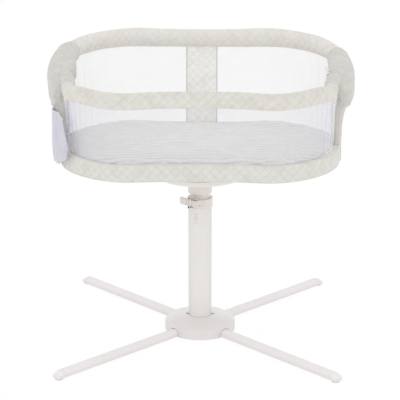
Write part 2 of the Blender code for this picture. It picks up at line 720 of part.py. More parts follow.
# ---------------------------------------------------------------- front rail, hinged at both ends
FRONT_Z = 0.797
FRONT_END_Y = 0.066  # ends of the rail's arms
FRONT_ARM_STEPS = 40
FRONT_TUBE_R = 0.0075
FRONT_PAD_R, FRONT_PAD_END = 0.0238, 0.0190
HINGE_Y, HINGE_Z, HINGE_X = 0.055, 0.8208, 0.4375
HINGE_PIN_R = 0.0035
HINGE_PIN_X = (0.3880, 0.4465)  # inner and outer end
SPRING_X, SPRING_LENGTH, SPRING_R, SPRING_WIRE_R = 0.4160, 0.0080, 0.0078, 0.0009
SPRING_TURNS, SPRING_STEPS = 3, 8  # steps in each turn


def front_height(y):
    dip = 0.016 * math.exp(-(((y + 0.09) / 0.07) ** 2))
    return FRONT_Z - dip + 1.85 * max(0.0, y + 0.06) ** 2


def front_rail(count):
    """From the right arm's end, round the front, to the left arm's end."""
    arm = []
    for i in range(FRONT_ARM_STEPS + 1):
        y = FRONT_END_Y * (1 - i / FRONT_ARM_STEPS)
        x = FRONT.half_x - 0.0068 * (y / FRONT_END_Y) ** 2
        arm.append(Vector((x, y, front_height(y))))
    front = []
    for i in range(1, 720):
        x, y = plan_point(-math.pi * i / 720, FRONT)
        front.append(Vector((x, y, front_height(y))))
    other_arm = [Vector((-point.x, point.y, point.z)) for point in reversed(arm)]
    return even(arm + front + other_arm, count)


def front_pad_radius(point):
    return FRONT_PAD_END + (FRONT_PAD_R - FRONT_PAD_END) * ease(-0.05, -0.17, point.y)


def make_front_rail():
    line = front_rail(28)
    first = line[0] + (line[0] - line[1]).normalized() * 0.01
    last = line[-1] + (line[-1] - line[-2]).normalized() * 0.01
    longer = [first] + line + [last]
    tube = bar("front_rail_tube", line, FRONT_TUBE_R, "painted_steel")
    cut(tube, bar("front_tube_bore", longer, FRONT_TUBE_R - RAIL_WALL))
    radii = [front_pad_radius(point) for point in line]
    pad = sweep("front_rail_pad", line, radii, "quilted_fabric")
    cut(pad, bar("front_pad_bore", longer, FRONT_TUBE_R + COVER_PLAY))
    return tube, pad


def hinge_rod(name, side, start, end, radius, key=None, segments=SEG_HOLE):
    """A rod on a hinge's axis, between two distances from the bed's middle."""
    ends = [(side * x, HINGE_Y, HINGE_Z) for x in (start, end)]
    return rod(name, *ends, radius, key, segments)


def make_return_spring(label, side):
    steps = SPRING_TURNS * SPRING_STEPS
    coil = []
    for k in range(steps + 1):
        angle = 2 * math.pi * k / SPRING_STEPS
        x = side * (SPRING_X + SPRING_LENGTH * k / steps)
        y, z = HINGE_Y + SPRING_R * math.cos(angle), HINGE_Z + SPRING_R * math.sin(angle)
        coil.append(Vector((x, y, z)))
    bar(f"return_spring_{label}", coil, SPRING_WIRE_R, "steel", 1)


def make_hinge(label, side, bored, rear_pad):
    """The pin, its bores, the spring's pocket in the rear padding, and the spring."""
    inner, outer = HINGE_PIN_X
    bore_r, bore_end = HINGE_PIN_R + GAP, outer + 0.003
    hinge_rod(f"hinge_pin_{label}", side, inner, outer, HINGE_PIN_R, "steel", SEG_SMALL)
    pin_bore = hinge_rod(f"hinge_bore_{label}", side, inner - 0.004, bore_end, bore_r)
    for piece in bored:
        cut(piece, pin_bore)
    cut(
        rear_pad,
        hinge_rod(f"spring_pocket_{label}", side, 0.4000, HINGE_X + 0.0005, 0.0108),
        hinge_rod(f"hinge_pad_bore_{label}", side, 0.4300, bore_end, bore_r),
    )
    make_return_spring(label, side)


# ---------------------------------------------------------------- rear centre panel and its strut
PANEL_HALF_W, PANEL_T = 0.0485, 0.0150
STRUT_HALF_W, STRUT_T = 0.0120, 0.0025
# (y, z) centre lines, from the foot up
STRUT = [(0.2576, 0.5590), (0.2576, 0.6065), (0.2640, 0.6300), (0.2805, 0.8600), (0.2815, 0.8735)]
STRUT_WAY = [(STRUT[0][0], 0.55)] + STRUT[1:4] + [(0.2820, 0.8800)]
PANEL = [(0.2636, 0.6118), (0.2655, 0.6300), (0.2800, 0.8500)]


def flat_bar(name, line, half_w, thickness, key=None):
    rows = []
    for i, (y, z) in enumerate(line):
        before, after = line[max(i - 1, 0)], line[min(i + 1, len(line) - 1)]
        way = Vector((after[0] - before[0], after[1] - before[1])).normalized()
        off = Vector((way.y, -way.x)) * thickness / 2
        corners = ((-half_w, -1), (half_w, -1), (half_w, 1), (-half_w, 1))
        rows.append([Vector((x, y + face * off.x, z + face * off.y)) for x, face in corners])
    return loft(name, rows, key, caps=True)


def make_rear_panel(rear_pad):
    """The strut, and the way for it through the panel and the rear padding."""
    flat_bar("rear_strut", STRUT, STRUT_HALF_W, STRUT_T, "painted_steel")
    way = flat_bar("strut_way", STRUT_WAY, STRUT_HALF_W + COVER_PLAY, STRUT_T + 0.0014)
    panel = flat_bar("rear_panel", PANEL, PANEL_HALF_W, PANEL_T, "panel_fabric")
    cut(panel, way)
    cut(rear_pad, way)


# ---------------------------------------------------------------- mesh walls
WALL_T = 0.0012
WALL_DROP = 0.0016  # top edge below the padding
WALL_INSET = 0.0035
WALL_PLAN = BED._replace(half_x=BED.half_x - WALL_INSET, half_y=BED.half_y - WALL_INSET)
WALL_FOOT_Z = SKIRT_Z1 + 0.0012
WALL_PANEL_X = PANEL_HALF_W + 0.001  # rear walls end beside the panel
WALL_FOOT_END_Y = 0.0135  # front and rear walls keep this far from y = 0 at the foot
REAR_WALL_TOP_Y, FRONT_WALL_TOP_Y = 0.019, -0.0170


def under(points, radius_of):
    """The line just below a rail's padding."""
    out = []
    for i, point in enumerate(points):
        way = (points[min(i + 1, len(points) - 1)] - points[max(i - 1, 0)]).normalized()
        down = Vector((0, 0, -1)) + way * way.z
        out.append(point + down.normalized() * (radius_of(point) + WALL_DROP))
    return out


def wall(name, low_line, high_line, count):
    low, high = even(low_line, count), even(high_line, count)
    rows = [[foot.lerp(top, k / 2) for foot, top in zip(low, high)] for k in range(3)]
    solidify(loft(name, rows, "mesh_fabric", closed_rows=False), WALL_T)


def wall_foot(angle):
    return Vector((*plan_point(angle, WALL_PLAN), WALL_FOOT_Z))


def make_rear_walls():
    foot = [wall_foot((math.pi / 2) * i / 400) for i in range(401)]
    foot = [point for point in foot if point.y > WALL_FOOT_END_Y and point.x > WALL_PANEL_X]
    top = under(rear_rail(240), rear_pad_radius)
    top = [point for point in top if point.y > REAR_WALL_TOP_Y and point.x > WALL_PANEL_X]
    for label, side in SIDES.items():
        low, high = [
            [Vector((side * point.x, point.y, point.z)) for point in line]
            for line in (foot, top)]
        wall(f"mesh_wall_rear_{label}", low, high, 13)


def make_front_wall():
    foot = [wall_foot(-math.pi * i / 800) for i in range(801)]
    foot = [point for point in foot if point.y < -WALL_FOOT_END_Y]
    top = under(front_rail(400), front_pad_radius)
    top = [point for point in top if point.y < FRONT_WALL_TOP_Y]
    wall("mesh_wall_front", foot, top, 28)


# ---------------------------------------------------------------- side pouch
POUCH_TOP, POUCH_FOOT, POUCH_HALF = 0.7120, 0.5530, 0.0800
POUCH_X, POUCH_T = 0.4405, 0.0022
POUCH_LEVELS, POUCH_COLUMNS = 5, 8


def make_side_pouch():
    """A mesh pouch outside the left end, swelling outwards in the middle."""
    rows = []
    for k in range(POUCH_LEVELS + 1):
        up = k / POUCH_LEVELS
        z = POUCH_FOOT + (POUCH_TOP - POUCH_FOOT) * up
        half = POUCH_HALF * (0.86 + 0.14 * up)
        fullness = 0.0035 + 0.0075 * math.sin(math.pi * (0.15 + 0.75 * (1 - up)))
        inner, outer = [], []
        for i in range(POUCH_COLUMNS + 1):
            across = 2 * i / POUCH_COLUMNS - 1
            y = half * across
            bow = POUCH_X + 0.0015 * up * up - 0.9 * y * y
            swell = fullness * (1 - across ** 4)
            inner.append(Vector((-bow, y, z)))
            outer.append(Vector((-bow - POUCH_T - swell, y, z)))
        rows.append(inner + outer[::-1])
    loft("side_pouch", rows, "mesh_fabric", caps=True)


# ---------------------------------------------------------------- the whole bassinet
make_base()
make_outer_column()
make_clamp()
make_sliding_column()
make_bed()
rear_tube, rear_pad = make_rear_rail()
front_tube, front_pad = make_front_rail()
for label, side in SIDES.items():
    make_hinge(label, side, (rear_tube, front_tube, front_pad), rear_pad)
make_rear_panel(rear_pad)
make_rear_walls()
make_front_wall()
make_side_pouch()
bpy.context.view_layer.update()
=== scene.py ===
"""Looks of the swivel bassinet: quilted rails, mesh walls, mattress and moulded pieces.

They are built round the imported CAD, in its own frame: metres, +Z up. -Y is the front, +X is
the right end, -X the left end with the pouch, and the column stands on the Z axis.
"""

import math
from functools import cached_property

import bmesh
import bpy
import numpy as np
from mathutils import Matrix, Vector, noise


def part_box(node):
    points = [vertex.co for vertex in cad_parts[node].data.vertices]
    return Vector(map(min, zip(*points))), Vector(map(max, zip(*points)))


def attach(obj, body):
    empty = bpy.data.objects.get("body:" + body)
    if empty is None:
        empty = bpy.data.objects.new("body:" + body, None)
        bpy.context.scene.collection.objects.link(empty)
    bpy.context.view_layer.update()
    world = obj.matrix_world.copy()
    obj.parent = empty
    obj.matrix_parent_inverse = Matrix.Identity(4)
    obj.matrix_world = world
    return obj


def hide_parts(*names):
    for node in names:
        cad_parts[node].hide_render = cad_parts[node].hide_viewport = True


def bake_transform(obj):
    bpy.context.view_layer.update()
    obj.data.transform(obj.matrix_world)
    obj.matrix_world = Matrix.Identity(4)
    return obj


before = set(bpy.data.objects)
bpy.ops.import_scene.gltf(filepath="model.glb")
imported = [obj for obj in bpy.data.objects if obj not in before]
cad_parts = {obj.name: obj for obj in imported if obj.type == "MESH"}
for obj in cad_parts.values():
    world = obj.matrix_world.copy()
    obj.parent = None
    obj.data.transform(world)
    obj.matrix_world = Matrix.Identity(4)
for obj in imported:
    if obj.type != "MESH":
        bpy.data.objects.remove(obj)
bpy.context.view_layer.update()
TAU = 2 * math.pi
SIDES = (("right", 1), ("left", -1))  # name, and the sign of X

# ---------------------------------------------------------------- shared sizes
# Plan curves: half length in X, half width in Y, power of the end curve, depth of the waist
BED_X, BED_Y, BED_POWER, BED_WAIST = 0.4243, 0.3100, 3.0, 0.129
REAR_PLAN = (0.442, 0.325, 2.6, 0.130)
FRONT_X = 0.395
FRONT_PLAN = (FRONT_X, 0.352, 2.6, 0.225)
WAIST_X = 0.19  # half length of the waist
FRONT_Z = 0.797  # the front rail's height
FRONT_ARM_END = 0.066  # y where the front rail's arms end
PIVOT_Y = 0.055  # the front rail's hinge
QUILT = 0.0280  # the diamonds' width and height
NET_ROWS = 40  # points up a mesh wall

# Legs: angle from +X in degrees, section, and distance of the tip from the column
LEGS = {"front_left": 225, "front_right": 315, "rear_right": 45, "rear_left": 135}
LEG_WIDTH, LEG_HEIGHT, LEG_Z, LEG_TIP = 0.036, 0.021, 0.0050, 0.5657
CAP_START = LEG_TIP - 0.010

COLUMN_RADIUS, INNER_RADIUS = 0.0361, 0.0300
BOWL_TOP, BED_DISH_TOP = 0.5170, 0.5543


# ---------------------------------------------------------------- numbers and curves
def step(low, high, value):
    """Smooth change from 0 at low to 1 at high."""
    part = np.clip((np.asarray(value, float) - low) / (high - low), 0.0, 1.0)
    return part * part * (3 - 2 * part)


def bell(value, centre, width, power=2):
    return np.exp(-(((value - centre) / width) ** power))


def spread(*columns):
    """Broadcasts the columns and stacks them as points or UVs."""
    return np.stack(np.broadcast_arrays(*columns), -1)


def plan(angle, half_x, half_y, power, waist):
    cosine = np.cos(angle)
    x = half_x * np.sign(cosine) * np.abs(cosine) ** (2.0 / power)
    y = half_y * np.sin(angle) * (1.0 - waist * bell(x, 0, WAIST_X, 4))
    return x, y


def bed_plan(angle, end_inset=0.0, side_inset=0.0):
    return plan(angle, BED_X - end_inset, BED_Y - side_inset, BED_POWER, BED_WAIST)


def lengths(path):
    return np.concatenate([[0.0], np.cumsum(np.linalg.norm(np.diff(path, axis=0), axis=1))])


def resample(path, count):
    run = lengths(path)
    at = np.linspace(0, run[-1], count)
    return np.stack([np.interp(at, run, column) for column in path.T], -1)


def relax(path, sigma, closed=False):
    """Gaussian smoothing along a polyline, sigma in samples, ends kept."""
    half = int(sigma * 3)
    kernel = np.exp(-0.5 * (np.arange(-half, half + 1) / sigma) ** 2)
    kernel /= kernel.sum()
    if closed:
        wide = np.concatenate([path[-half:], path, path[:half]])
    else:
        before = 2 * path[0] - path[half:0:-1]
        after = 2 * path[-1] - path[-2 : -half - 2 : -1]
        wide = np.concatenate([before, path, after])
    return np.stack([np.convolve(column, kernel, "valid") for column in wide.T], -1)


def unit(vectors):
    size = np.linalg.norm(vectors, axis=-1, keepdims=True)
    return vectors / np.maximum(size, 1e-12)


def tangents(path, closed=False):
    if closed:
        return unit(np.roll(path, -1, 0) - np.roll(path, 1, 0))
    return unit(np.gradient(path, axis=0))


def carried_frames(path, start, normal):
    """Tangents, normals and binormals, carried without twist from index start outwards."""
    way = tangents(path)
    side = np.zeros_like(path)
    side[start] = unit(np.array(normal, float) - way[start] * np.dot(normal, way[start]))
    for turn in (1, -1):
        k = start + turn
        while 0 <= k < len(path):
            carried = side[k - turn] - way[k] * np.dot(side[k - turn], way[k])
            side[k] = carried / np.linalg.norm(carried)
            k += turn
    return way, side, np.cross(way, side)


def circle(count):
    """Angles round a section, the first repeated at the end."""
    return np.linspace(0, TAU, count + 1)


def spokes(side, up, theta):
    """Offsets round a section spanned by side and up."""
    return side[..., None, :] * np.cos(theta)[:, None] + up[..., None, :] * np.sin(theta)[:, None]


def wobble(points, scale, seed=0.0):
    """Smooth noise between about -1 and 1 at each point."""
    shift = np.array([seed, -seed, 2 * seed])
    flat = np.asarray(points, float).reshape(-1, 3) / scale + shift
    values = np.array([noise.noise(Vector(point)) for point in flat])
    return values.reshape(np.asarray(points).shape[:-1])


def coarse_wobble(points, every, scale, seed):
    """The same noise sampled at every few points of a grid, each value repeated."""
    values = wobble(points[::every, ::every], scale, seed)
    values = np.repeat(np.repeat(values, every, 0), every, 1)
    return values[: points.shape[0], : points.shape[1]]


def rear_dense():
    """The rear rail's centre line from the right arm, round the back, to the left arm."""
    x, y = plan(np.linspace(0, math.pi, 1601), *REAR_PLAN)
    return np.stack([x, y, 0.8885 - 0.120 * np.exp(-10.2 * y)], -1)


def front_height(y):
    return FRONT_Z - 0.016 * bell(y, -0.09, 0.07) + 1.85 * np.maximum(0.0, y + 0.06) ** 2


def front_dense():
    """The front rail's centre line from the right arm, round the front, to the left arm."""
    y = np.linspace(FRONT_ARM_END, 0, 60, endpoint=False)
    arm = np.stack([FRONT_X - 0.0068 * (y / FRONT_ARM_END) ** 2, y, front_height(y)], -1)
    x, y = plan(-np.linspace(0, math.pi, 1601), *FRONT_PLAN)
    middle = np.stack([x, y, front_height(y)], -1)
    return np.concatenate([arm, middle, (arm * (-1, 1, 1))[::-1]])


def rear_radius(path):
    """Thicker along the back, most of all beside its middle."""
    arm_radius, back_radius = 0.0225, 0.0275
    lobe = bell(np.abs(path[:, 0]), 0.20, 0.09)
    return arm_radius + step(0.06, 0.22, path[:, 1]) * (back_radius - arm_radius + lobe * 0.0020)


def front_radius(path):
    return 0.0190 + 0.0048 * (1 - step(-0.17, -0.05, path[:, 1]))


def bed_outline(count, end_inset=0.0, side_inset=0.0):
    """Even points round the bed at z = 0, and their outward normals."""
    x, y = bed_plan(np.linspace(0, TAU, 5761), end_inset, side_inset)
    line = resample(np.stack([x, y, 0 * x], -1), count + 1)[:-1]
    line = relax(line, 3.0, closed=True)
    way = tangents(line, closed=True)
    return line, np.stack([way[:, 1], -way[:, 0], 0 * way[:, 0]], -1)


# ---------------------------------------------------------------- meshes
def outwards(mesh):
    edit = bmesh.new()
    edit.from_mesh(mesh)
    bmesh.ops.recalc_face_normals(edit, faces=edit.faces)
    edit.to_mesh(mesh)
    edit.free()
    return mesh


def grid_mesh(
    name, points, quilt=None, cloth=None, closed_u=False, closed_v=False, caps=False, outward=True
):
    """Quads over points[i, j]. Closed directions share their points.

    quilt and cloth are UVs, with one more row or column in a closed direction.
    """
    rows, columns = points.shape[:2]
    index = np.arange(rows * columns).reshape(rows, columns)
    across = np.arange(rows if closed_u else rows - 1)
    i, j = np.meshgrid(across, np.arange(columns if closed_v else columns - 1), indexing="ij")
    turns = ((0, 0), (1, 0), (1, 1), (0, 1))
    corners = np.stack([np.stack([i + di, j + dj], -1) for di, dj in turns], -2)
    corners = corners.reshape(-1, 4, 2)
    faces = index[corners[..., 0] % rows, corners[..., 1] % columns].tolist()
    if caps:
        faces += [index[0, ::-1].tolist(), index[-1].tolist()]
    mesh = bpy.data.meshes.new(name)
    mesh.from_pydata(points.reshape(-1, 3).tolist(), [], faces)
    for label, uv in (("cloth", cloth), ("quilt", quilt)):
        if uv is None:
            continue
        layer = mesh.uv_layers.new(name=label)
        values = np.zeros((len(mesh.loops), 2), np.float32)
        found = uv[corners[..., 0], corners[..., 1]].reshape(-1, 2)
        values[: len(found)] = found
        layer.data.foreach_set("uv", values.ravel())
    mesh.update()
    return outwards(mesh) if outward else mesh


def dress(obj, look, body=None, replaces=None, angle=None):
    mesh = obj.data
    mesh.materials.clear()
    mesh.materials.append(MATS[look])
    mesh.shade_smooth()
    if angle:
        mesh.set_sharp_from_angle(angle=math.radians(angle))
    if body:
        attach(obj, body)
    if replaces:
        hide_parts(replaces)


def bare(name, mesh):
    obj = bpy.data.objects.new(name, mesh)
    bpy.context.scene.collection.objects.link(obj)
    return obj


def make(name, mesh, look, body=None, replaces=None, angle=None):
    obj = bare(name, mesh)
    dress(obj, look, body, replaces, angle)
    return obj


def quilt_height(quilt_a, quilt_b, depth):
    """Pillow between two families of stitched lines, at whole numbers of the two UVs."""
    wave_a, wave_b = np.abs(np.sin(math.pi * quilt_a)), np.abs(np.sin(math.pi * quilt_b))
    pillow = np.sqrt(wave_a * wave_b)
    crease = bell(wave_a, 0, 0.16) + bell(wave_b, 0, 0.16)
    return depth * (0.75 * pillow ** 0.8 - 0.28 * np.minimum(crease, 1.3))


def quilted_tube(name, path, radius, sides, depth, normal, start, wrinkle, repeats, shape=None):
    """A padded cover swept along path, with the stitched lattice running round it.

    repeats counts the diamonds round the tube. shape moves the section, and wrinkle adds to
    its height.
    """
    way, side, up = carried_frames(path, start, normal)
    along = lengths(path)
    along = along - along[start]
    theta = circle(sides)
    across = repeats * theta[None, :] / TAU
    down = along[:, None] / QUILT
    quilt_a, quilt_b = down + across, down - across
    out = spokes(side, up, theta)
    base = path[:, None, :] + out * radius[:, None, None]
    if shape is not None:
        base = base + shape(way, out)
    height = quilt_height(quilt_a, quilt_b, depth) + wrinkle(path, along, theta, base)
    points = base + out * height[..., None]
    cloth = spread(along[:, None], theta[None, :] * float(np.median(radius)))
    quilt = np.stack([quilt_a, quilt_b], -1)
    return grid_mesh(name, points[:, :-1], quilt, cloth, closed_v=True, caps=True)


def rounded_end(path, radius, at_end, reach, count, blunt):
    """Adds samples that close a tube with a soft round end."""
    if not at_end:
        path, radius = path[::-1], radius[::-1]
    part = np.linspace(0, 1, count + 1)[1:]
    more = path[-1] + unit(path[-1] - path[-4]) * (reach * np.sin(part * math.pi / 2))[:, None]
    thin = radius[-1] * np.maximum(np.cos(part * math.pi / 2), 0.02) ** blunt
    thin[-1] = radius[-1] * 0.04
    path, radius = np.concatenate([path, more]), np.concatenate([radius, thin])
    return (path, radius) if at_end else (path[::-1], radius[::-1])


# ---------------------------------------------------------------- material tools
def linear(rgb):
    """Linear values of an 8-bit sRGB colour."""
    return tuple(((c / 255 + 0.055) / 1.055) ** 2.4 if c > 10 else c / 255 / 12.92 for c in rgb)


def scaled(colour, factor):
    return tuple(min(1.0, c * factor) for c in colour)


class Shader:
    """Short calls for a node material."""

    def __init__(self, name):
        self.material = bpy.data.materials.new(name)
        self.material.use_nodes = True
        self.tree = self.material.node_tree
        self.tree.nodes.clear()
        self.out = self.node("OutputMaterial")
        self.bsdf = self.node("BsdfPrincipled")
        self.link(self.bsdf.outputs[0], self.out.inputs["Surface"])

    def node(self, kind, **settings):
        made = self.tree.nodes.new("ShaderNode" + kind)
        for key, value in settings.items():
            setattr(made, key, value)
        return made

    def link(self, source, target):
        self.tree.links.new(source, target)

    def put(self, socket, value):
        if isinstance(value, bpy.types.NodeSocket):
            self.link(value, socket)
        elif isinstance(value, (tuple, list)) and len(value) == 3 and socket.type == "RGBA":
            socket.default_value = (*value, 1.0)
        else:
            socket.default_value = value

    def set(self, **values):
        for key, value in values.items():
            self.put(self.bsdf.inputs[key.replace("_", " ")], value)

    def math(self, operation, *values):
        made = self.node("Math", operation=operation)
        for socket, value in zip(made.inputs, (*values, 0.0, 0.0)):
            self.put(socket, value)
        return made.outputs[0]

    def times(self, first, second):
        return self.math("MULTIPLY", first, second)

    def from_middle(self, value):
        """Distance of the fractional part from one half."""
        return self.math("ABSOLUTE", self.math("SUBTRACT", self.math("FRACT", value), 0.5))

    def mapped(self, value, limits, to=(0.0, 1.0)):
        """Smooth change between the two values of to, as value crosses the limits."""
        made = self.node("MapRange", interpolation_type="SMOOTHSTEP")
        for socket, setting in zip(made.inputs, (value, *limits, *to)):
            self.put(socket, setting)
        return made.outputs[0]

    def mix(self, amount, first, second):
        made = self.node("Mix", data_type="RGBA")
        for index, value in ((0, amount), (6, first), (7, second)):
            self.put(made.inputs[index], value)
        return made.outputs[2]

    @cached_property
    def place(self):
        return self.node("TexCoord").outputs["Object"]

    def split(self, vector):
        made = self.node("SeparateXYZ")
        self.link(vector, made.inputs[0])
        return made.outputs

    def uv(self, label):
        return self.split(self.node("UVMap", uv_map=label).outputs[0])

    def normal(self):
        return self.split(self.node("NewGeometry").outputs["Normal"])

    def slant(self):
        """0 where the surface faces the viewer, 1 where it is seen edge on."""
        made = self.node("LayerWeight")
        made.inputs["Blend"].default_value = 0.5
        return made.outputs["Facing"]

    def noise(self, scale, detail=2.0, rough=0.5, vector=None):
        made = self.node("TexNoise")
        self.put(made.inputs["Vector"], self.place if vector is None else vector)
        made.inputs["Scale"].default_value = scale
        made.inputs["Detail"].default_value = detail
        made.inputs["Roughness"].default_value = rough
        return made.outputs["Fac"]

    def bump(self, height, distance, strength, under=None):
        made = self.node("Bump")
        made.inputs["Distance"].default_value = distance
        made.inputs["Strength"].default_value = strength
        self.put(made.inputs["Height"], height)
        if under is not None:
            self.link(under, made.inputs["Normal"])
        return made.outputs[0]

    def weave(self, along, across, pitch):
        """Over-and-under threads, 0 to 1."""
        waves = [self.math("SINE", self.times(value, TAU / pitch)) for value in (along, across)]
        return self.math("MULTIPLY_ADD", self.times(*waves), 0.5, 0.5)


# ---------------------------------------------------------------- materials
def fabric(name, colour, dark, quilted=True, line=0.27, pitch=0.0011, slub=0.022, glow=None):
    """Woven cloth. line is the stitching's darkness, slub the threads' unevenness.

    glow stands in for light that bounces between layers.
    """
    mat = Shader(name)
    colour, dark = linear(colour), linear(dark)
    along, across, _ = mat.uv("cloth")
    threads = mat.weave(along, across, pitch)
    cloud = mat.noise(scale=35.0, detail=3.0)
    fine = mat.noise(scale=420.0, detail=3.0, rough=0.65)
    light = scaled(colour, 1 + slub * 0.6)
    tone = mat.mix(mat.mapped(fine, (0.35, 0.65)), scaled(colour, 1 - slub), light)
    tone = mat.mix(mat.mapped(cloud, (0.35, 0.7), to=(0.0, 0.22)), tone, dark)
    height = mat.times(threads, 0.35 if quilted else 0.5)
    if quilted:
        quilt_a, quilt_b, _ = mat.uv("quilt")
        lines = []
        for over, beside in ((quilt_a, quilt_b), (quilt_b, quilt_a)):
            off = mat.from_middle(mat.math("ADD", over, 0.5))
            # off is 0.5 minus the distance to the half, so it is least on the whole numbers
            seam = mat.mapped(off, (0.030, 0.062), to=(1.0, 0.0))
            dash = mat.from_middle(mat.times(beside, 7.0))  # seven stitches to a diamond
            lines.append(mat.times(seam, mat.mapped(dash, (0.36, 0.46), to=(1.0, 0.35))))
        seams = mat.math("MAXIMUM", *lines)
        tone = mat.mix(mat.times(seams, line), tone, dark)
        height = mat.math("SUBTRACT", height, mat.times(seams, 1.2))
    soft = mat.bump(fine, distance=0.0005, strength=0.12)
    mat.set(
        Base_Color=tone,
        Roughness=mat.mapped(fine, (0.2, 0.8), to=(0.82, 0.96)),
        Normal=mat.bump(height, distance=0.00030, strength=0.30, under=soft),
        Sheen_Weight=0.2,
        Sheen_Roughness=0.5,
        Specular_IOR_Level=0.18,
    )
    if glow:
        mat.set(Emission_Color=tone, Emission_Strength=glow)
    return mat.material


def sheet(name, colour, dark):
    """Thin cloth with long wavering creases in X and finer ripples between them, both darkened with
    painted shade.
    """
    crease_gap, wave_length = 0.0265, 0.115
    mat = Shader(name)
    colour = linear(colour)
    x, y, _ = mat.split(mat.place)
    drift = mat.noise(scale=7.0)
    broken = mat.noise(scale=22.0, detail=3.0, rough=0.6)
    phase = mat.math("MULTIPLY_ADD", drift, 9.0, mat.times(x, TAU / wave_length))
    shift = mat.math("MULTIPLY_ADD", mat.math("SINE", phase), 0.20, mat.times(broken, 1.1))
    row = mat.math("ADD", mat.math("DIVIDE", y, crease_gap), shift)
    crease = mat.mapped(mat.from_middle(row), (0.20, 0.42))
    between = mat.from_middle(mat.math("MULTIPLY_ADD", row, 2.0, 0.35))
    ripple = mat.mapped(between, (0.30, 0.47), to=(0.0, 0.35))
    patchy = mat.mapped(broken, (0.30, 0.62), to=(0.35, 1.0))
    line = mat.times(mat.math("MAXIMUM", crease, ripple), patchy)
    fine = mat.noise(scale=260.0, rough=0.6)
    threads = mat.weave(x, y, pitch=0.0012)
    tone = mat.mix(mat.mapped(fine, (0.3, 0.7)), scaled(colour, 0.985), scaled(colour, 1.01))
    height = mat.math("MULTIPLY_ADD", line, -1.0, mat.times(threads, 0.15))
    mat.set(
        # Painted shade: the creases and ripples are mixed towards the dark colour.
        Base_Color=mat.mix(line, tone, linear(dark)),
        Roughness=0.9,
        Normal=mat.bump(height, distance=0.0006, strength=0.45),
        Sheen_Weight=0.2,
        Specular_IOR_Level=0.15,
    )
    return mat.material


def netting(name, colour, cover=0.20, vary=0.55, bounce=0.14):
    """Open knitted mesh round small holes, which close where it is seen at a slant.

    cover is the threads' share of the area, vary their contrast, bounce the glow at a slant.
    """
    mat = Shader(name)
    colour = linear(colour)
    along, across, _ = mat.uv("cloth")
    skewed = mat.math("ADD", along, mat.times(across, 0.5))
    knit = mat.weave(skewed, across, pitch=0.0026)
    slant = mat.slant()
    facing = mat.math("MAXIMUM", mat.math("SUBTRACT", 1.0, slant), 0.05)
    holes = mat.math("POWER", 1.0 - cover, mat.math("DIVIDE", 1.0, facing))
    closed = mat.math("SUBTRACT", 1.0, holes)
    threads = mat.math("MULTIPLY_ADD", mat.math("SUBTRACT", knit, 0.5), 2.0 * vary, 1.0)
    cloud = mat.mapped(mat.noise(scale=14.0, detail=3.0), (0.25, 0.75), to=(0.90, 1.10))
    tone = mat.mix(mat.mapped(knit, (0.2, 0.8)), scaled(colour, 0.95), colour)
    mat.set(
        Base_Color=tone,
        Roughness=0.85,
        Alpha=mat.math("MINIMUM", mat.times(mat.times(closed, threads), cloud), 0.97),
        Normal=mat.bump(knit, distance=0.0003, strength=0.3),
        Emission_Color=tone,
        Emission_Strength=mat.mapped(slant, (0.55, 0.98), to=(0.0, bounce)),
        Specular_IOR_Level=0.2,
    )
    mat.material.surface_render_method = "DITHERED"
    return mat.material


def paint(
    name, colour, rough, coat, wear=0.0, grain=900.0, depth=0.00004, rim=0.10, rim_shade_from=0.45,
    side_shade=0.0, front_shade=0.0,
):
    """Powder coat or moulded plastic: orange peel, handling marks and uneven gloss.

    rim paints shade on surfaces seen at a slant, side_shade paints shade on those that don't
    face up, and front_shade paints shade on those that face -Y.
    """
    shade = (0.40, 0.33, 0.29)
    mat = Shader(name)
    colour = linear(colour)
    peel = mat.noise(scale=grain, detail=3.0, rough=0.55)
    marks = mat.noise(scale=9.0, detail=5.0, rough=0.62)
    scratch = mat.node("TexVoronoi", feature="DISTANCE_TO_EDGE")
    scratch.inputs["Scale"].default_value = 26.0
    mat.link(mat.place, scratch.inputs["Vector"])
    hairline = mat.mapped(scratch.outputs["Distance"], (0.0, 0.012), to=(wear, 0.0))
    smudge = mat.mapped(marks, (0.38, 0.72), to=(0.0, 0.30))
    tone = mat.mix(smudge, colour, scaled(colour, 0.955))
    tone = mat.mix(hairline, tone, scaled(colour, 0.86))
    # Painted shade: darker towards the silhouettes, where the surface is seen at a slant.
    edge = mat.mapped(mat.slant(), (rim_shade_from, 0.95), to=(0.0, rim))
    tone = mat.mix(edge, tone, (0.35, 0.32, 0.31))
    if side_shade:
        amount = mat.mapped(mat.normal()[2], (0.05, 0.85), to=(side_shade, 0.0))
        tone = mat.mix(amount, tone, shade)
    if front_shade:
        amount = mat.mapped(mat.normal()[1], (-0.16, 0.10), to=(front_shade, 0.0))
        tone = mat.mix(amount, tone, shade)
    mat.set(
        Base_Color=tone,
        Roughness=mat.mapped(marks, (0.3, 0.75), to=(rough * 0.88, rough * 1.22)),
        Normal=mat.bump(peel, distance=depth, strength=0.5),
        Coat_Weight=coat,
        Coat_Roughness=0.25,
    )
    return mat.material


def metal(name, colour, rough):
    """Brushed metal with dull spots. colour is linear."""
    mat = Shader(name)
    streak = mat.node("Mapping")
    streak.inputs["Scale"].default_value = (1.0, 1.0, 14.0)
    mat.link(mat.place, streak.inputs["Vector"])
    brush = mat.noise(scale=220.0, detail=3.0, rough=0.6, vector=streak.outputs[0])
    spots = mat.noise(scale=60.0, detail=4.0)
    dull = mat.mapped(spots, (0.35, 0.7), to=(0.0, 0.5))
    mat.set(
        Base_Color=mat.mix(dull, colour, scaled(colour, 0.78)),
        Metallic=1.0,
        Roughness=mat.mapped(brush, (0.3, 0.7), to=(rough * 0.8, rough * 1.4)),
        Normal=mat.bump(brush, distance=0.00003, strength=0.4),
    )
    return mat.material


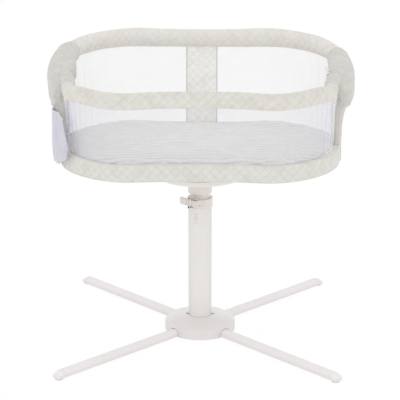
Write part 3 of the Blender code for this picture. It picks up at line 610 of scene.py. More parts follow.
def rubber(name):
    mat = Shader(name)
    grain = mat.noise(scale=700.0, detail=3.0, rough=0.6)
    dust = mat.mapped(mat.noise(scale=40.0, detail=4.0), (0.4, 0.7), to=(0.0, 0.4))
    mat.set(
        Base_Color=mat.mix(dust, (0.74, 0.73, 0.71), (0.80, 0.79, 0.77)),
        Roughness=0.85,
        Normal=mat.bump(grain, distance=0.0001, strength=0.5),
    )
    return mat.material


def board(name):
    mat = Shader(name)
    fibre = mat.noise(scale=260.0, detail=4.0, rough=0.7)
    tone = mat.mix(mat.mapped(fibre, (0.3, 0.7)), (0.42, 0.33, 0.23), (0.55, 0.45, 0.33))
    bump = mat.bump(fibre, distance=0.0002, strength=0.5)
    mat.set(Base_Color=tone, Roughness=0.8, Normal=bump)
    return mat.material


MOULDED = {"grain": 1500.0, "depth": 0.00006}
PLAIN = {"quilted": False}

# Colours are 8-bit sRGB, those of the metals linear
MATS = {
    "rear": fabric("quilted_rail_fabric", (237, 234, 229), (210, 204, 194)),
    "front": fabric("quilted_front_rail_fabric", (231, 228, 221), (193, 187, 175)),
    "sleeve": fabric("arm_sleeve_fabric", (220, 218, 213), (190, 184, 174), line=0.20),
    "band": fabric("quilted_band_fabric", (229, 228, 221), (193, 190, 178)),
    "panel": fabric("quilted_panel_fabric", (254, 253, 250), (217, 213, 202)),
    "post": fabric("post_cover_fabric", (207, 204, 200), (180, 176, 170), glow=0.13, **PLAIN),
    "trim": fabric("band_trim_fabric", (224, 223, 217), (196, 193, 184), pitch=0.0009, **PLAIN),
    "tape": fabric(
        "binding_tape_fabric", (243, 243, 243), (222, 220, 220), pitch=0.0016, slub=0.02, **PLAIN
    ),
    "piping": fabric(
        "panel_piping_fabric", (226, 223, 225), (205, 200, 204), pitch=0.0009, **PLAIN
    ),
    # The sheet's second colour is the painted shade in its creases.
    "sheet": sheet("fitted_sheet_fabric", (242, 241, 239), (222, 220, 216)),
    "net": netting("wall_netting", (223, 222, 232)),
    "net_rear": netting("rear_wall_netting", (226, 226, 232)),
    "net_pouch": netting("pouch_netting", (223, 221, 231), cover=0.60, vary=0.20, bounce=0.0),
    "leg": paint(
        "leg_powder_coat", (246, 242, 242), rough=0.34, coat=0.25, wear=0.10, side_shade=0.16
    ),
    # The column gets stronger painted shade towards its silhouettes.
    "column": paint(
        "column_powder_coat", (239, 236, 232), rough=0.36, coat=0.2, wear=0.08, rim=0.20,
        rim_shade_from=0.10,
    ),
    "inner": paint("inner_tube_paint", (234, 230, 225), rough=0.30, coat=0.3, wear=0.14),
    "hub": paint(
        "hub_moulding", (249, 245, 245), rough=0.33, coat=0.25, wear=0.05, grain=1200.0,
        side_shade=0.02, front_shade=0.19,
    ),
    "dish": paint("dish_moulding", (237, 235, 230), rough=0.45, coat=0.1, **MOULDED),
    "neck": paint("neck_moulding", (235, 227, 222), rough=0.50, coat=0.0, **MOULDED),
    "clamp": paint("clamp_moulding", (234, 229, 225), rough=0.42, coat=0.1, wear=0.06, **MOULDED),
    "lever": paint("lever_moulding", (230, 221, 215), rough=0.40, coat=0.15, wear=0.10, **MOULDED),
    "tray": paint(
        "tray_moulding", (226, 226, 223), rough=0.5, coat=0.0, grain=1300.0, depth=0.00008
    ),
    "nylon": paint("nylon_moulding", (232, 231, 226), rough=0.45, coat=0.0, grain=1500.0),
    "steel": metal("zinc_plated_steel", (0.55, 0.55, 0.57), rough=0.32),
    # Also used for the strips of painted shadow in the clamp's gaps.
    "pin": metal("blackened_pin_steel_and_painted_gap_shadow", (0.03, 0.03, 0.03), rough=0.4),
    "tick": paint("printed_scale_ink", (196, 192, 189), rough=0.6, coat=0.0),
    "rubber": rubber("foot_rubber"),
    "board": board("mattress_board_fibre"),
}

# CAD pieces that stay, by material
KEPT = {
    "clamp": ["clamp_bolt", "clamp_nut"],
    "steel": ["column_socket", "column_cross_bolt", "swivel_bolt", "swivel_nut"]
    + [f"dish_screw_{k}" for k in (1, 2, 3)]
    + [f"{part}_{side}" for part in ("post_cross_pin", "hinge_pin", "return_spring")
       for side, _ in SIDES]
    + [f"leg_screw_{leg}" for leg in LEGS],
    "pin": ["lever_pin"],
    "leg": ["hub_base_plate", "rear_rail_tube", "front_rail_tube", "rear_strut"],
    "nylon": ["column_guide_bush", "inner_tube_glide", "swivel_bearing_ring"],
    "tray": ["bed_tray"],
    "board": ["mattress_board"],
    "rubber": [f"foot_pad_{leg}" for leg in LEGS],
}
for look, pieces in KEPT.items():
    for piece in pieces:
        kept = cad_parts[piece].data
        kept.materials.clear()
        kept.materials.append(MATS[look])


# ---------------------------------------------------------------- rails and arm sleeves
# How far a sleeve widens inwards to take in the front arm: distance from the pivot along the
# arm, positive towards the front, and the widening
WIDEN = np.array([
    (-0.125, 0.0), (-0.1175, 0.002), (-0.095, 0.007), (-0.073, 0.013), (-0.0505, 0.020),
    (-0.028, 0.028), (0.0, 0.035), (0.015, 0.037), (0.030, 0.036), (0.045, 0.032),
    (0.060, 0.026), (0.075, 0.018), (0.090, 0.007), (0.100, 0.0),
])


def rear_wrinkle(path, along, theta, base):
    """Slight pulls across the inner side of the bends, and a groove along the top."""
    inner = step(0.1, 0.9, -np.cos(theta))[None, :]
    bend = bell(np.abs(path[:, 0]), 0.31, 0.07)[:, None]
    run = along[:, None]
    pulls = np.sin(run / 0.021 * TAU + 1.3 * np.sin(run * 31.0))
    lumps = coarse_wobble(base, every=6, scale=0.045, seed=3.1)
    groove = bell(theta, 1.5 * math.pi, 0.09)[None, :]
    return 0.0007 * pulls * inner * bend + 0.0006 * lumps - 0.0016 * groove


def front_wrinkle(path, along, theta, base):
    """Pulls across the inner side of the bends, and a groove along the underside."""
    inner = step(0.1, 0.9, -np.cos(theta))[None, :]
    bend = bell(np.abs(path[:, 0]), 0.33, 0.06)[:, None]
    run = along[:, None]
    pulls = np.sin(run / 0.019 * TAU + 1.1 * np.sin(run * 27.0))
    groove = bell(theta, 1.5 * math.pi, 0.10)[None, :]
    return 0.0007 * pulls * inner * bend - 0.0014 * groove


def arm_sleeve(side, sign, path):
    """Sleeve over one arm. path runs from its open end to its stub."""
    path = resample(path, 190)
    run = lengths(path)
    radius = rear_radius(path) + 0.0012 + 0.0034 * bell(run, 0.014, 0.020)
    radius = radius - 0.0010 * (1 - step(0, 0.006, run))
    radius = radius - 0.0018 * step(run[-1] - 0.05, run[-1], run)
    path, radius = rounded_end(path, radius, at_end=True, reach=0.012, count=10, blunt=0.5)
    path, radius = rounded_end(path, radius, at_end=False, reach=0.0035, count=5, blunt=0.35)
    radius = np.maximum(radius, 0.0008)
    run = lengths(path)
    total = run[-1]
    past_pivot = run - run[int(np.argmin(np.abs(path[:, 1] - PIVOT_Y)))]
    # widen moves the inner side inwards, swell the outer side outwards; both fade at the ends
    fade = step(0.0, 0.030, run) * (1 - step(total - 0.014, total, run))
    widen = relax(np.interp(past_pivot, *WIDEN.T)[:, None], 5.0)[:, 0] * fade
    if side == "right":
        widen = widen - 0.0095 * bell(past_pivot, -0.040, 0.062, 4) * fade
        swell = 0.0062 * bell(past_pivot, -0.030, 0.075, 4)
    else:
        swell = 0.0080 * bell(past_pivot, -0.060, 0.080, 4)
        swell = swell - 0.0062 * step(0.030, 0.075, past_pivot)
    swell = swell * fade

    def shape(way, out):
        """A flat oval over both arms, round again at the stub."""
        inward = unit(np.array([-sign, 0.0, 0.0]) + way * way[:, 0:1] * sign)
        toward = (out * inward[:, None, :]).sum(-1)
        far = widen[:, None] * step(-0.62, 0.62, toward)
        far = far - swell[:, None] * step(0.0, 1.0, -toward)
        return inward[:, None, :] * far[..., None]

    def wrinkle(path, along, theta, base):
        """Gathers near the stub, pulls near the pivot, and a raised seam on the inner side."""
        down, round_, ahead = run[:, None], theta[None, :], past_pivot[:, None]
        inner = step(-0.3, 0.8, -np.cos(round_))
        stub = step(total - 0.075, total - 0.02, down)
        gathers = np.sin(round_ * 9 + 2.2 * np.sin(down * 38.0)) * (0.25 + 0.75 * stub)
        bent = ahead + 0.010 * np.sin(round_ * 2 + 0.6)
        pulls = np.sin(bent / 0.0155 * TAU + 1.4 * np.sin(ahead * 47.0))
        pulls = pulls * bell(ahead, 0.020, 0.045) * inner
        soft = coarse_wobble(base, every=7, scale=0.050, seed=5.3 + sign)
        soft = relax(relax(soft, 4.0).T, 4.0, closed=True).T
        seam = bell(round_, (1 - 0.20 * sign) * math.pi, 0.055) * step(0.0, 0.04, ahead)
        return 0.0006 * gathers + 0.0015 * pulls + 0.0018 * soft + 0.0013 * seam

    name = f"arm_sleeve_{side}"
    mesh = quilted_tube(
        name, path, radius, sides=96, depth=0.0009, normal=(sign, 0, 0), start=len(path) // 4,
        wrinkle=wrinkle, repeats=6, shape=shape,
    )
    make(name, mesh, "sleeve", "bed", "rear_rail_pad")


def rear_rail():
    """Quilted cover along the back, and a sleeve over each arm."""
    sleeve_right, sleeve_left = 0.125, 0.155  # y where each arm's sleeve starts
    tuck = 14  # samples of the cover inside each sleeve
    arm = np.array([[0.4395, -0.0030, 0.7550], [0.4340, -0.0040, 0.7365]])
    rail = np.concatenate([arm[::-1], rear_dense(), arm * (-1, 1, 1)])
    rail = relax(resample(rail, 900), 5.0)
    middle = int(np.argmin(np.abs(rail[:, 0]) + (rail[:, 1] < 0.1)))
    run = lengths(rail)
    radius = rear_radius(rail) - 0.0016 * (1 - step(0.0, 0.05, np.minimum(run, run[-1] - run)))
    right = int(np.argmax(rail[:, 1] > sleeve_right))
    left = len(rail) - 1 - int(np.argmax(rail[::-1, 1] > sleeve_left))

    first = right - tuck
    path = rail[first : left + tuck]
    edge = np.minimum(np.arange(len(path)), np.arange(len(path))[::-1])
    radius = radius[first : left + tuck] - 0.0006 - 0.0022 * (1 - step(0, tuck * 1.5, edge))
    name = "rear_rail_quilted_cover"
    mesh = quilted_tube(
        name, path, radius, sides=84, depth=0.0015, normal=(0, 1, 0), start=middle - first,
        wrinkle=rear_wrinkle, repeats=6,
    )
    make(name, mesh, "rear", "bed", "rear_rail_pad")
    arm_sleeve("right", 1, rail[: right + 1][::-1])
    arm_sleeve("left", -1, rail[left:])


def front_rail():
    """Quilted cover of the front rail. Its ends spread and thin, to sit inside the sleeves."""
    path = relax(resample(front_dense(), 760), 5.0)
    tucked = step(-0.03, FRONT_ARM_END, path[:, 1])
    radius = front_radius(path) - 0.0006 + 0.0026 * step(-0.12, 0.0, path[:, 1])
    radius = radius - 0.0030 * tucked
    path[:, 0] += np.where(path[:, 0] > 0, 0.0340, -0.0250) * tucked
    for at_end in (True, False):
        path, radius = rounded_end(path, radius, at_end, reach=0.010, count=9, blunt=0.5)
    middle = int(np.argmin(np.abs(path[:, 0]) + (path[:, 1] > -0.1)))
    name = "front_rail_quilted_cover"
    mesh = quilted_tube(
        name, path, radius, sides=76, depth=0.0014, normal=(0, -1, 0), start=middle,
        wrinkle=front_wrinkle, repeats=5,
    )
    make(name, mesh, "front", "front_rail", "front_rail_pad")
    # the last stretch of each end is in the sleeves' fabric
    mesh.materials.append(MATS["sleeve"])
    for face in mesh.polygons:
        if face.center.y > -0.060:
            face.material_index = 1


# ---------------------------------------------------------------- band round the tray
def tray_band():
    """Quilted band, with a round trim along its lower and its upper edge."""
    line, normal = bed_outline(1000)
    run = lengths(np.concatenate([line, line[:1]]))
    # section as (outwards, z): lip at the top, face, lip below
    face_top, face_height = 0.6050, 0.0430
    section = [(-0.0046, 0.6040), (-0.0046, 0.6068), (-0.0036, 0.6084), (-0.0018, 0.6086),
               (-0.0004, 0.6070)]
    section += [
        (0.0004 + 0.0016 * math.sin(math.pi * k / 17), face_top - face_height * k / 17)
        for k in range(18)
    ]
    section += [(-0.0004, 0.5598), (-0.0018, 0.5582), (-0.0036, 0.5580), (-0.0046, 0.5596),
                (-0.0046, 0.5630)]
    section = resample(np.array(section), 40)
    down = lengths(section)
    around = (run / run[-1] * int(round(run[-1] / QUILT)))[:, None]
    quilt_a, quilt_b = around + down / QUILT, around - down / QUILT
    lift = quilt_height(quilt_a[:-1], quilt_b[:-1], 0.0014) * step(-0.0022, 0.0, section[:, 0])
    points = line[:, None, :] + normal[:, None, :] * (section[:, 0] + lift)[..., None]
    points[..., 2] = section[:, 1]
    quilt, cloth = np.stack([quilt_a, quilt_b], -1), spread(run[:, None], down)
    mesh = grid_mesh("quilted_band", points, quilt, cloth, closed_u=True)
    make("quilted_band", mesh, "band", "bed", "tray_skirt")

    theta = circle(12)
    # name, distance outwards, z, radius
    for name, out, level, radius in (
        ("band_piping_lower", -0.0010, 0.5592, 0.0022),
        ("band_tape_upper", -0.0030, 0.6084, 0.0017),
    ):
        centre = line + normal * out
        centre[:, 2] = level
        rim = spokes(normal, np.array([0, 0, 1.0]), theta[:-1])
        points = centre[:, None, :] + radius * rim
        uv = spread(run[:, None], radius * theta)
        mesh = grid_mesh(name, points[::2], None, uv[::2], closed_u=True, closed_v=True)
        make(name, mesh, "trim", "bed")


# ---------------------------------------------------------------- mattress
def coordinates(mesh):
    values = np.zeros(len(mesh.vertices) * 3)
    mesh.vertices.foreach_get("co", values)
    return values.reshape(-1, 3)


def evaluated(obj):
    return obj.evaluated_get(bpy.context.evaluated_depsgraph_get())


def apply_modifiers(obj):
    mesh = bpy.data.meshes.new_from_object(evaluated(obj))
    obj.modifiers.clear()
    obj.data = mesh


def inflate(obj, pressure, frames, cap):
    """Points of obj after cloth under pressure without gravity, each moved at most cap."""
    stiffness = 12.0
    scene = bpy.context.scene
    scene.frame_start, scene.frame_end = 1, frames
    scene.frame_set(1)
    cloth = obj.modifiers.new("puff", "CLOTH")
    settings = cloth.settings
    settings.quality = 5
    settings.mass = 0.3
    settings.tension_stiffness = settings.compression_stiffness = stiffness
    settings.shear_stiffness = stiffness * 0.4
    settings.bending_stiffness = 2.0
    settings.use_pressure = True
    settings.uniform_pressure_force = pressure
    settings.shrink_min = 0.0
    settings.effector_weights.gravity = 0.0
    cloth.collision_settings.use_collision = False
    cloth.point_cache.frame_start, cloth.point_cache.frame_end = 1, frames
    rest = coordinates(obj.data)
    for k in range(1, frames + 1):
        scene.frame_set(k)
    shift = coordinates(evaluated(obj).data) - rest
    size = np.linalg.norm(shift, axis=1, keepdims=True)
    shift *= np.minimum(1.0, cap / np.maximum(size, 1e-9))
    obj.modifiers.remove(cloth)
    scene.frame_set(1)
    return rest + shift


def remesh(obj, voxel):
    change = obj.modifiers.new("voxels", "REMESH")
    change.mode = "VOXEL"
    change.voxel_size = voxel
    apply_modifiers(obj)


def mattress():
    """Foam in a fitted sheet."""
    low, high = (corner.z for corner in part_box("mattress"))
    outline, normal = bed_outline(180, 0.0058, 0.0055)
    # rings from the underside, over the rim, to the top: outward offset and z
    levels = [
        (-0.020, low + 0.0020), (-0.0140, low + 0.0035), (-0.0110, low + 0.0085),
        (-0.0090, high - 0.0110), (-0.0015, high - 0.0075), (0.0, high - 0.0040),
        (-0.0020, high - 0.0014), (-0.0070, high - 0.0004),
    ]
    middle = outline * (0.04, 0.04, 1)
    rings = [middle + (0, 0, levels[0][1])]
    rings += [outline + normal * out + (0, 0, level) for out, level in levels]
    rings += [middle + (0, 0, levels[-1][1])]
    name = "mattress_in_fitted_sheet"
    obj = make(name, grid_mesh(name, np.array(rings), closed_v=True, caps=True), "sheet")
    remesh(obj, voxel=0.0065)
    points = inflate(obj, pressure=4.0, frames=20, cap=0.006)

    # shallow ripples at the rim, the foam's crown, and higher corners at the back
    x, y, z = points.T
    rim = ((np.abs(x) / 0.413) ** 3 + (np.abs(y) / 0.300) ** 2) ** 0.45
    top = step(high - 0.016, high - 0.006, z)
    angle = np.arctan2(y, x)
    ripple = 0.0010 * np.sin(angle * 46 + 3 * np.sin(angle * 5)) * step(0.75, 0.98, rim)
    crown = 0.0012 * (1 - np.clip(rim, 0, 1) ** 2)
    corner = step(0.72, 1.0, rim) * step(0.05, 0.24, np.abs(x)) * step(0.0, 0.1, y)
    lumps = 0.0006 * wobble(points, 0.09, 1.7)
    points[:, 2] += top * (ripple + crown + 0.0065 * corner + lumps)
    points[:, 2] = np.maximum(np.minimum(points[:, 2], high + 0.009), low + 0.0004)
    obj.data.vertices.foreach_set("co", points.astype(np.float32).ravel())
    obj.data.update()
    soft = obj.modifiers.new("soft", "SUBSURF")
    soft.levels = soft.render_levels = 1
    dress(obj, "sheet", "bed", "mattress")


def tray_liner():
    """Sheet fabric over the tray's lip, under the walls."""
    angle = circle(360)[:-1]
    rows = []
    # inset from the bed's outline, z
    for inset, level in (
        (0.0012, 0.6066), (0.0030, 0.6072), (0.0120, 0.6068), (0.0240, 0.6035), (0.0300, 0.5990),
    ):
        x, y = bed_plan(angle, inset, inset)
        rows.append(np.stack([x, y, level + 0.0002 * np.sin(angle * 47)], -1))
    points = np.stack(rows, 1)
    uv = spread(angle[:, None] * 0.36, np.linspace(0, 0.03, 5))
    points, uv = np.concatenate([points, points[:1]]), np.concatenate([uv, uv[:1]])
    make("tray_liner", grid_mesh("tray_liner", points, None, uv), "sheet", "bed")


# ---------------------------------------------------------------- rear centre panel
def rear_panel():
    """Quilted panel in the middle of the back, with piping down both edges."""
    half = 0.0480
    # centre line as (y, z), from the tray up
    line = np.array([(0.2636, 0.6080), (0.2655, 0.6300), (0.2722, 0.7300), (0.2800, 0.8560)])
    line = resample(line, 110)
    across = np.linspace(-1, 1, 61)[None, :]
    tangent = tangents(line)
    inwards = np.stack([-tangent[:, 1], tangent[:, 0]], -1)  # towards the inside of the bed
    height = lengths(line)
    x, up = across * half, height[:, None]
    quilt_a, quilt_b = (x + up) / QUILT, (x - up) / QUILT
    border = step(0.84, 0.90, np.abs(across))
    thick = 0.0062 * (1 - np.abs(across) ** 6) ** 0.5
    thick = thick + quilt_height(quilt_a, quilt_b, 0.0020) * (1 - border) + 0.0006 * border
    for face, sign in (("inner", 1), ("outer", -1)):
        y, z = (line[:, k, None] + sign * inwards[:, k, None] * thick for k in (0, 1))
        name = f"rear_panel_{face}"
        quilt = np.stack([quilt_a, quilt_b], -1)
        mesh = grid_mesh(name, spread(x, y, z), quilt, spread(x, up), outward=False)
        make(name, mesh, "panel", "bed", "rear_panel")

    theta = circle(16)
    pull = 0.00025 * np.sin(height * TAU / 0.004)
    side = np.array([1.0, 0, 0]) * (0.0030 + pull)[:, None]
    depth = np.array([0, 1.0, 0]) * (0.0036 + pull)[:, None]
    for end, sign in SIDES:
        centre = spread(sign * (half - 0.0005), line[:, 0], line[:, 1])
        points = centre[:, None, :] + spokes(side, depth, theta[:-1])
        name = f"rear_panel_piping_{end}"
        uv = spread(up, 0.003 * theta)
        mesh = grid_mesh(name, points, None, uv, closed_v=True, caps=True)
        make(name, mesh, "piping", "bed")


# ---------------------------------------------------------------- mesh walls
def under(path, radius):
    """The line just inside the underside of a rail."""
    way = tangents(path)
    down = np.array([0, 0, -1.0]) + way * way[:, 2:3]
    return path + unit(down) * (radius - 0.004)[:, None]


def tray_edge(angle):
    x, y = bed_plan(angle, end_inset=0.0225, side_inset=0.0036)
    return np.stack([x, y, np.full_like(x, 0.6060)], -1)


def net_sheet(name, low, high, count, folds):
    """Net between two lines. folds(run, rise, total) pushes it outwards."""
    low, high = resample(low, count), resample(high, count)
    rise = np.linspace(0, 1, NET_ROWS)[None, :]
    points = low[:, None, :] * (1 - rise)[..., None] + high[:, None, :] * rise[..., None]
    normal = unit(np.cross(np.gradient(points, axis=0), np.gradient(points, axis=1)))
    normal = normal * np.sign((points * normal)[..., :2].sum(-1).mean())
    run = lengths(low)
    points = points + normal * folds(run[:, None], rise, run[-1])[..., None]
    steps = np.linalg.norm(np.diff(points, axis=1), axis=2)
    climb = np.cumsum(np.concatenate([np.zeros((count, 1)), steps], 1), 1)
    return grid_mesh(name, points, None, spread(run[:, None], climb), outward=False)


def rear_folds(run, rise, total):
    """A few slanting folds near the end post, and a gentle belly."""
    end = 1 - step(0.05, 0.27, run)
    slant = run + 0.050 * (1 - rise)
    ripples = np.sin(slant / 0.030 * TAU + 1.2) + 0.5 * np.sin(slant / 0.017 * TAU + 0.4)
    arch = np.sin(rise * math.pi)
    belly = -0.003 * arch * step(0.0, 0.1, run) * step(0.0, 0.1, total - run)
    return 0.0028 * ripples * end * np.maximum(arch, 0) ** 0.6 + belly


def front_folds(run, rise, total):
    """Nearly flat in front, and gathered where the wall turns back to the end posts."""
    near = np.minimum(run, total - run)
    end = (1 - step(0.03, 0.20, run)) + (1 - step(0.03, 0.20, total - run))
    slant = near + 0.030 * rise
    ripples = np.sin(slant / 0.043 * TAU + 0.9) + 0.5 * np.sin(slant / 0.024 * TAU)
    arch = np.sin(rise * math.pi)
    return 0.0022 * ripples * end * np.maximum(arch, 0) ** 0.5 - 0.002 * arch


def rear_nets():
    """A wall on each side, from the end post to the centre panel."""
    panel_edge = 0.0455
    line = rear_dense()
    hang = under(line, rear_radius(line))
    low = tray_edge(np.linspace(0, math.pi / 2, 1201))
    low = low[(low[:, 1] > 0.004) & (low[:, 0] > panel_edge)]
    high = hang[(line[:, 0] > panel_edge) & (hang[:, 1] > 0.008)]
    for side, sign in SIDES:
        name = f"rear_net_{side}"
        mirror = (sign, 1, 1)
        mesh = net_sheet(name, low * mirror, high * mirror, 170, rear_folds)
        make(name, mesh, "net_rear", "bed", f"mesh_wall_rear_{side}")


def fold_with_rail(obj):
    """Bakes the piece's placement into its mesh."""
    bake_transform(obj)


def front_walls():
    """The front wall, and a tape down each of its side edges."""
    columns = 300
    line = front_dense()
    hang = under(line, front_radius(line))
    low = tray_edge(-np.linspace(0, math.pi, 1601))
    low = low[low[:, 1] < -0.0190]
    corner = np.array([[0.4040, -0.0180, 0.7640]])
    high = np.concatenate([corner, hang[hang[:, 1] < -0.0300], corner * (-1, 1, 1)])
    mesh = net_sheet("front_net", low, high, columns, front_folds)
    net = make("front_net", mesh, "net", replaces="mesh_wall_front")
    rise = np.linspace(0, 1, NET_ROWS)
    fold_with_rail(net)

    half_width, half_thick = 0.0045, 0.0012
    width = np.linspace(-1, 1, 9)
    thick = half_thick * np.sqrt(1 - width ** 4)
    ring = np.concatenate([
        spread(width * half_width, thick, 0.0), spread(width * half_width, -thick, 0.0)[-2:0:-1],
    ])
    up = rise[:, None]
    for side, end in (("right", 0), ("left", -1)):
        centre = (low[end] - (0, 0, 0.004)) * (1 - up) + (high[end] + (0, 0, 0.004)) * up
        centre[:, 1] += 0.0005 * np.sin(rise * 60) - 0.0030
        uv = spread(np.linspace(0, 0.022, len(ring) + 1), up * 0.18)
        name = f"front_net_tape_{side}"
        mesh = grid_mesh(name, centre[:, None, :] + ring, None, uv, closed_v=True, caps=True)
        tape = make(name, mesh, "tape")
        fold_with_rail(tape)


# ---------------------------------------------------------------- covers of the end posts
# Centre line of the right one, from the top down
POST_LINE = np.array([
    (0.4350, -0.0040, 0.7430), (0.4275, -0.0040, 0.7280), (0.4200, -0.0040, 0.7050),
    (0.4180, -0.0036, 0.6600), (0.4168, -0.0034, 0.6150), (0.4180, -0.0030, 0.5850),
    (0.4190, -0.0030, 0.5560),
])
# Distance from the top and radius in Y, then distance and the share of it in X
POST_RADIUS = [(0, 0.0156), (0.012, 0.0170), (0.045, 0.0200), (0.105, 0.0220), (0.135, 0.0232),
               (0.170, 0.0236)]
POST_FLAT = [(0, 1.0), (0.012, 0.98), (0.045, 0.80), (0.080, 0.62), (0.135, 0.56)]


def end_posts():
    """Flat sleeves with a seam down the front, dragged a little at the top."""
    theta = circle(72)
    for name_end, sign in SIDES:
        path = relax(resample(POST_LINE * (sign, 1, 1), 150), 6.0)
        run = lengths(path)
        radius = np.interp(run, *zip(*POST_RADIUS, (run[-1], 0.0215)))
        flat = np.interp(run, *zip(*POST_FLAT, (run[-1], 0.52)))
        _, side, up = carried_frames(path, 60, (sign, 0, 0))
        backward = side[60][1] * np.cos(theta) + up[60][1] * np.sin(theta)
        seam = bell(theta, theta[int(np.argmin(backward))], 0.07)
        down = run[:, None]
        drag = 0.00055 * np.sin(theta * 4 + down * 70 + 1.5 * np.sin(down * 55))
        bands = np.sin(down / 0.011 * TAU + 2 * np.sin(theta))
        drag = drag + 0.0005 * bands * step(0.05, 0.0, down)
        bands = np.sin(down / 0.016 * TAU + 1.5 * np.sin(theta * 2))
        drag = drag + 0.0006 * bands * step(0.06, 0.0, down)
        reach = radius[:, None] + 0.0011 * seam + drag
        points = path[:, None, :] + spokes(side * flat[:, None], up, theta) * reach[..., None]
        name = f"end_post_sleeve_{name_end}"
        uv = spread(down, 0.013 * theta)
        mesh = grid_mesh(name, points[:, :-1], None, uv, closed_v=True, caps=True)
        make(name, mesh, "post", "bed", f"end_post_cover_{name_end}")


# ---------------------------------------------------------------- pouch on the left end
def side_pouch():
    """Gathered net, a flatter backing, and an elastic along the top edge."""
    columns, rows = 150, 70
    height = 0.1560
    rise = np.linspace(0, 1, rows)[None, :]
    span = np.linspace(-1, 1, columns)[:, None]  # -1 at the front edge, 1 at the rear edge
    fall = 1 - rise
    y = span * np.where(span < 0, 0.206 - 0.056 * rise, 0.125 - 0.030 * rise)
    lift = np.where(span < 0, 0.0520, 0.0200) * np.abs(span) ** 2.2 * fall
    z = 0.5545 + height * rise + lift
    # distance from the column: a bow across the end, blended into the bed's end wall
    blend = 0.0040
    bow = 0.4450 - 0.0030 * rise ** 3 - (5.4 - 0.5 * rise ** 3) * y ** 2
    wall = BED_X * (1 - np.abs(y / BED_Y) ** BED_POWER) ** (1 / BED_POWER)
    wall = wall + 0.0030 - 0.0135 * step(0.606, 0.640, z)
    bow = blend * np.logaddexp(bow / blend, wall / blend)
    fat = 0.0015 + 0.0030 * np.sin(math.pi * np.minimum(1.0, 0.15 + 0.75 * fall))
    wave = np.sin(span * 15 + 1.4 * np.sin(rise * 5) + 0.7 * np.sin(span * 9))
    gather = 0.0016 * wave * (0.5 + 0.5 * np.abs(2 * rise - 1))
    gather = gather + 0.0005 * np.sin(span * 41 + 3 * rise)
    out = bow + 0.0022 + fat * (1 - span ** 4) + gather * (1 - np.abs(span) ** 8)
    hem = 0.0022 * np.sin(span * 23 + 1.0) * (1 - step(0.0, 0.18, rise))
    net = spread(-out, y, z + hem)
    backing = spread(-bow - 0.0004 * np.sin(span * 20), y, z + hem)
    uv = spread(0.09 * span, height * rise)
    for name, points, cloth in (
        ("side_pouch_net", net, uv),
        ("side_pouch_backing", backing[::3, ::3], uv[::3, ::3]),
    ):
        mesh = grid_mesh(name, points, None, cloth, outward=False)
        make(name, mesh, "net_pouch", "bed", "side_pouch")

    centre = net[:, -1]
    _, side, up = carried_frames(centre, columns // 2, (-1, 0, 0))
    theta = circle(14)
    beads = 1 + 0.22 * np.sin(np.arange(columns) * 1.25)
    ring = spokes(side * 0.0016, up * 0.0042, theta[:-1]) * beads[:, None, None]
    uv = spread(lengths(centre)[:, None], 0.003 * theta)
    name = "side_pouch_elastic"
    mesh = grid_mesh(name, centre[:, None, :] + ring, None, uv, closed_v=True, caps=True)
    make(name, mesh, "piping", "bed")


# ---------------------------------------------------------------- tools for hard pieces
def turned(name, profile, steps):
    """Closed profile of (radius, z), turned round the Z axis."""
    theta = circle(steps)[:-1, None]
    radius, level = np.array(profile).T
    points = spread(np.cos(theta) * radius, np.sin(theta) * radius, level)
    return grid_mesh(name, points, closed_u=True, closed_v=True)


def rounded(profile, radius, segments=4):
    """The closed profile with each corner eased."""
    corners = [np.array(corner, float) for corner in profile]
    eased = []
    for i, corner in enumerate(corners):
        back, ahead = corners[i - 1] - corner, corners[(i + 1) % len(corners)] - corner
        back_size, ahead_size = np.linalg.norm(back), np.linalg.norm(ahead)
        reach = min(radius, back_size * 0.45, ahead_size * 0.45)
        first, last = corner + back / back_size * reach, corner + ahead / ahead_size * reach
        for k in range(segments + 1):
            part = k / segments
            bend = 2 * part * (1 - part) * corner
            eased.append((1 - part) ** 2 * first + bend + part ** 2 * last)
    return eased


def tube_section(outer, inner, top, bottom):
    return [(outer, top), (outer, bottom), (inner, bottom), (inner, top)]


def helper(mesh):
    return bare("cutter", mesh)


def cut(obj, others, operation="DIFFERENCE"):
    """Joins or cuts obj with the helpers, which are then removed."""
    for other in others:
        change = obj.modifiers.new("cut", "BOOLEAN")
        change.operation, change.solver, change.object = operation, "EXACT", other
    bpy.context.view_layer.update()
    apply_modifiers(obj)
    for other in others:
        bpy.data.objects.remove(other, do_unlink=True)


def box_mesh(low, high, place=Matrix.Identity(4), bevel=0.0, segments=3):
    low, high = Vector(low), Vector(high)
    edit = bmesh.new()
    size = Matrix.Diagonal((*(high - low), 1.0))
    bmesh.ops.create_cube(edit, size=1.0, matrix=Matrix.Translation((low + high) / 2) @ size)
    if bevel:
        bmesh.ops.bevel(
            edit, geom=list(edit.edges), offset=bevel, segments=segments, affect="EDGES",
            profile=0.6,
        )
    bmesh.ops.transform(edit, matrix=place, verts=edit.verts)
    mesh = bpy.data.meshes.new("box")
    edit.to_mesh(mesh)
    edit.free()
    return mesh


def rod_mesh(start, end, radius, segments=48, ease=0.0):
    axis = end - start
    place = Matrix.Translation(start) @ axis.to_track_quat("Z", "Y").to_matrix().to_4x4()
    rings = [(radius, ease), (radius, axis.length - ease)]
    if ease:
        rings = [(radius - ease, 0.0), *rings, (radius - ease, axis.length)]
    angles = [TAU * k / segments for k in range(segments)]
    points = np.array([
        [place @ Vector((wide * math.cos(a), wide * math.sin(a), z)) for a in angles]
        for wide, z in rings
    ])
    return grid_mesh("rod", points, closed_v=True, caps=True)


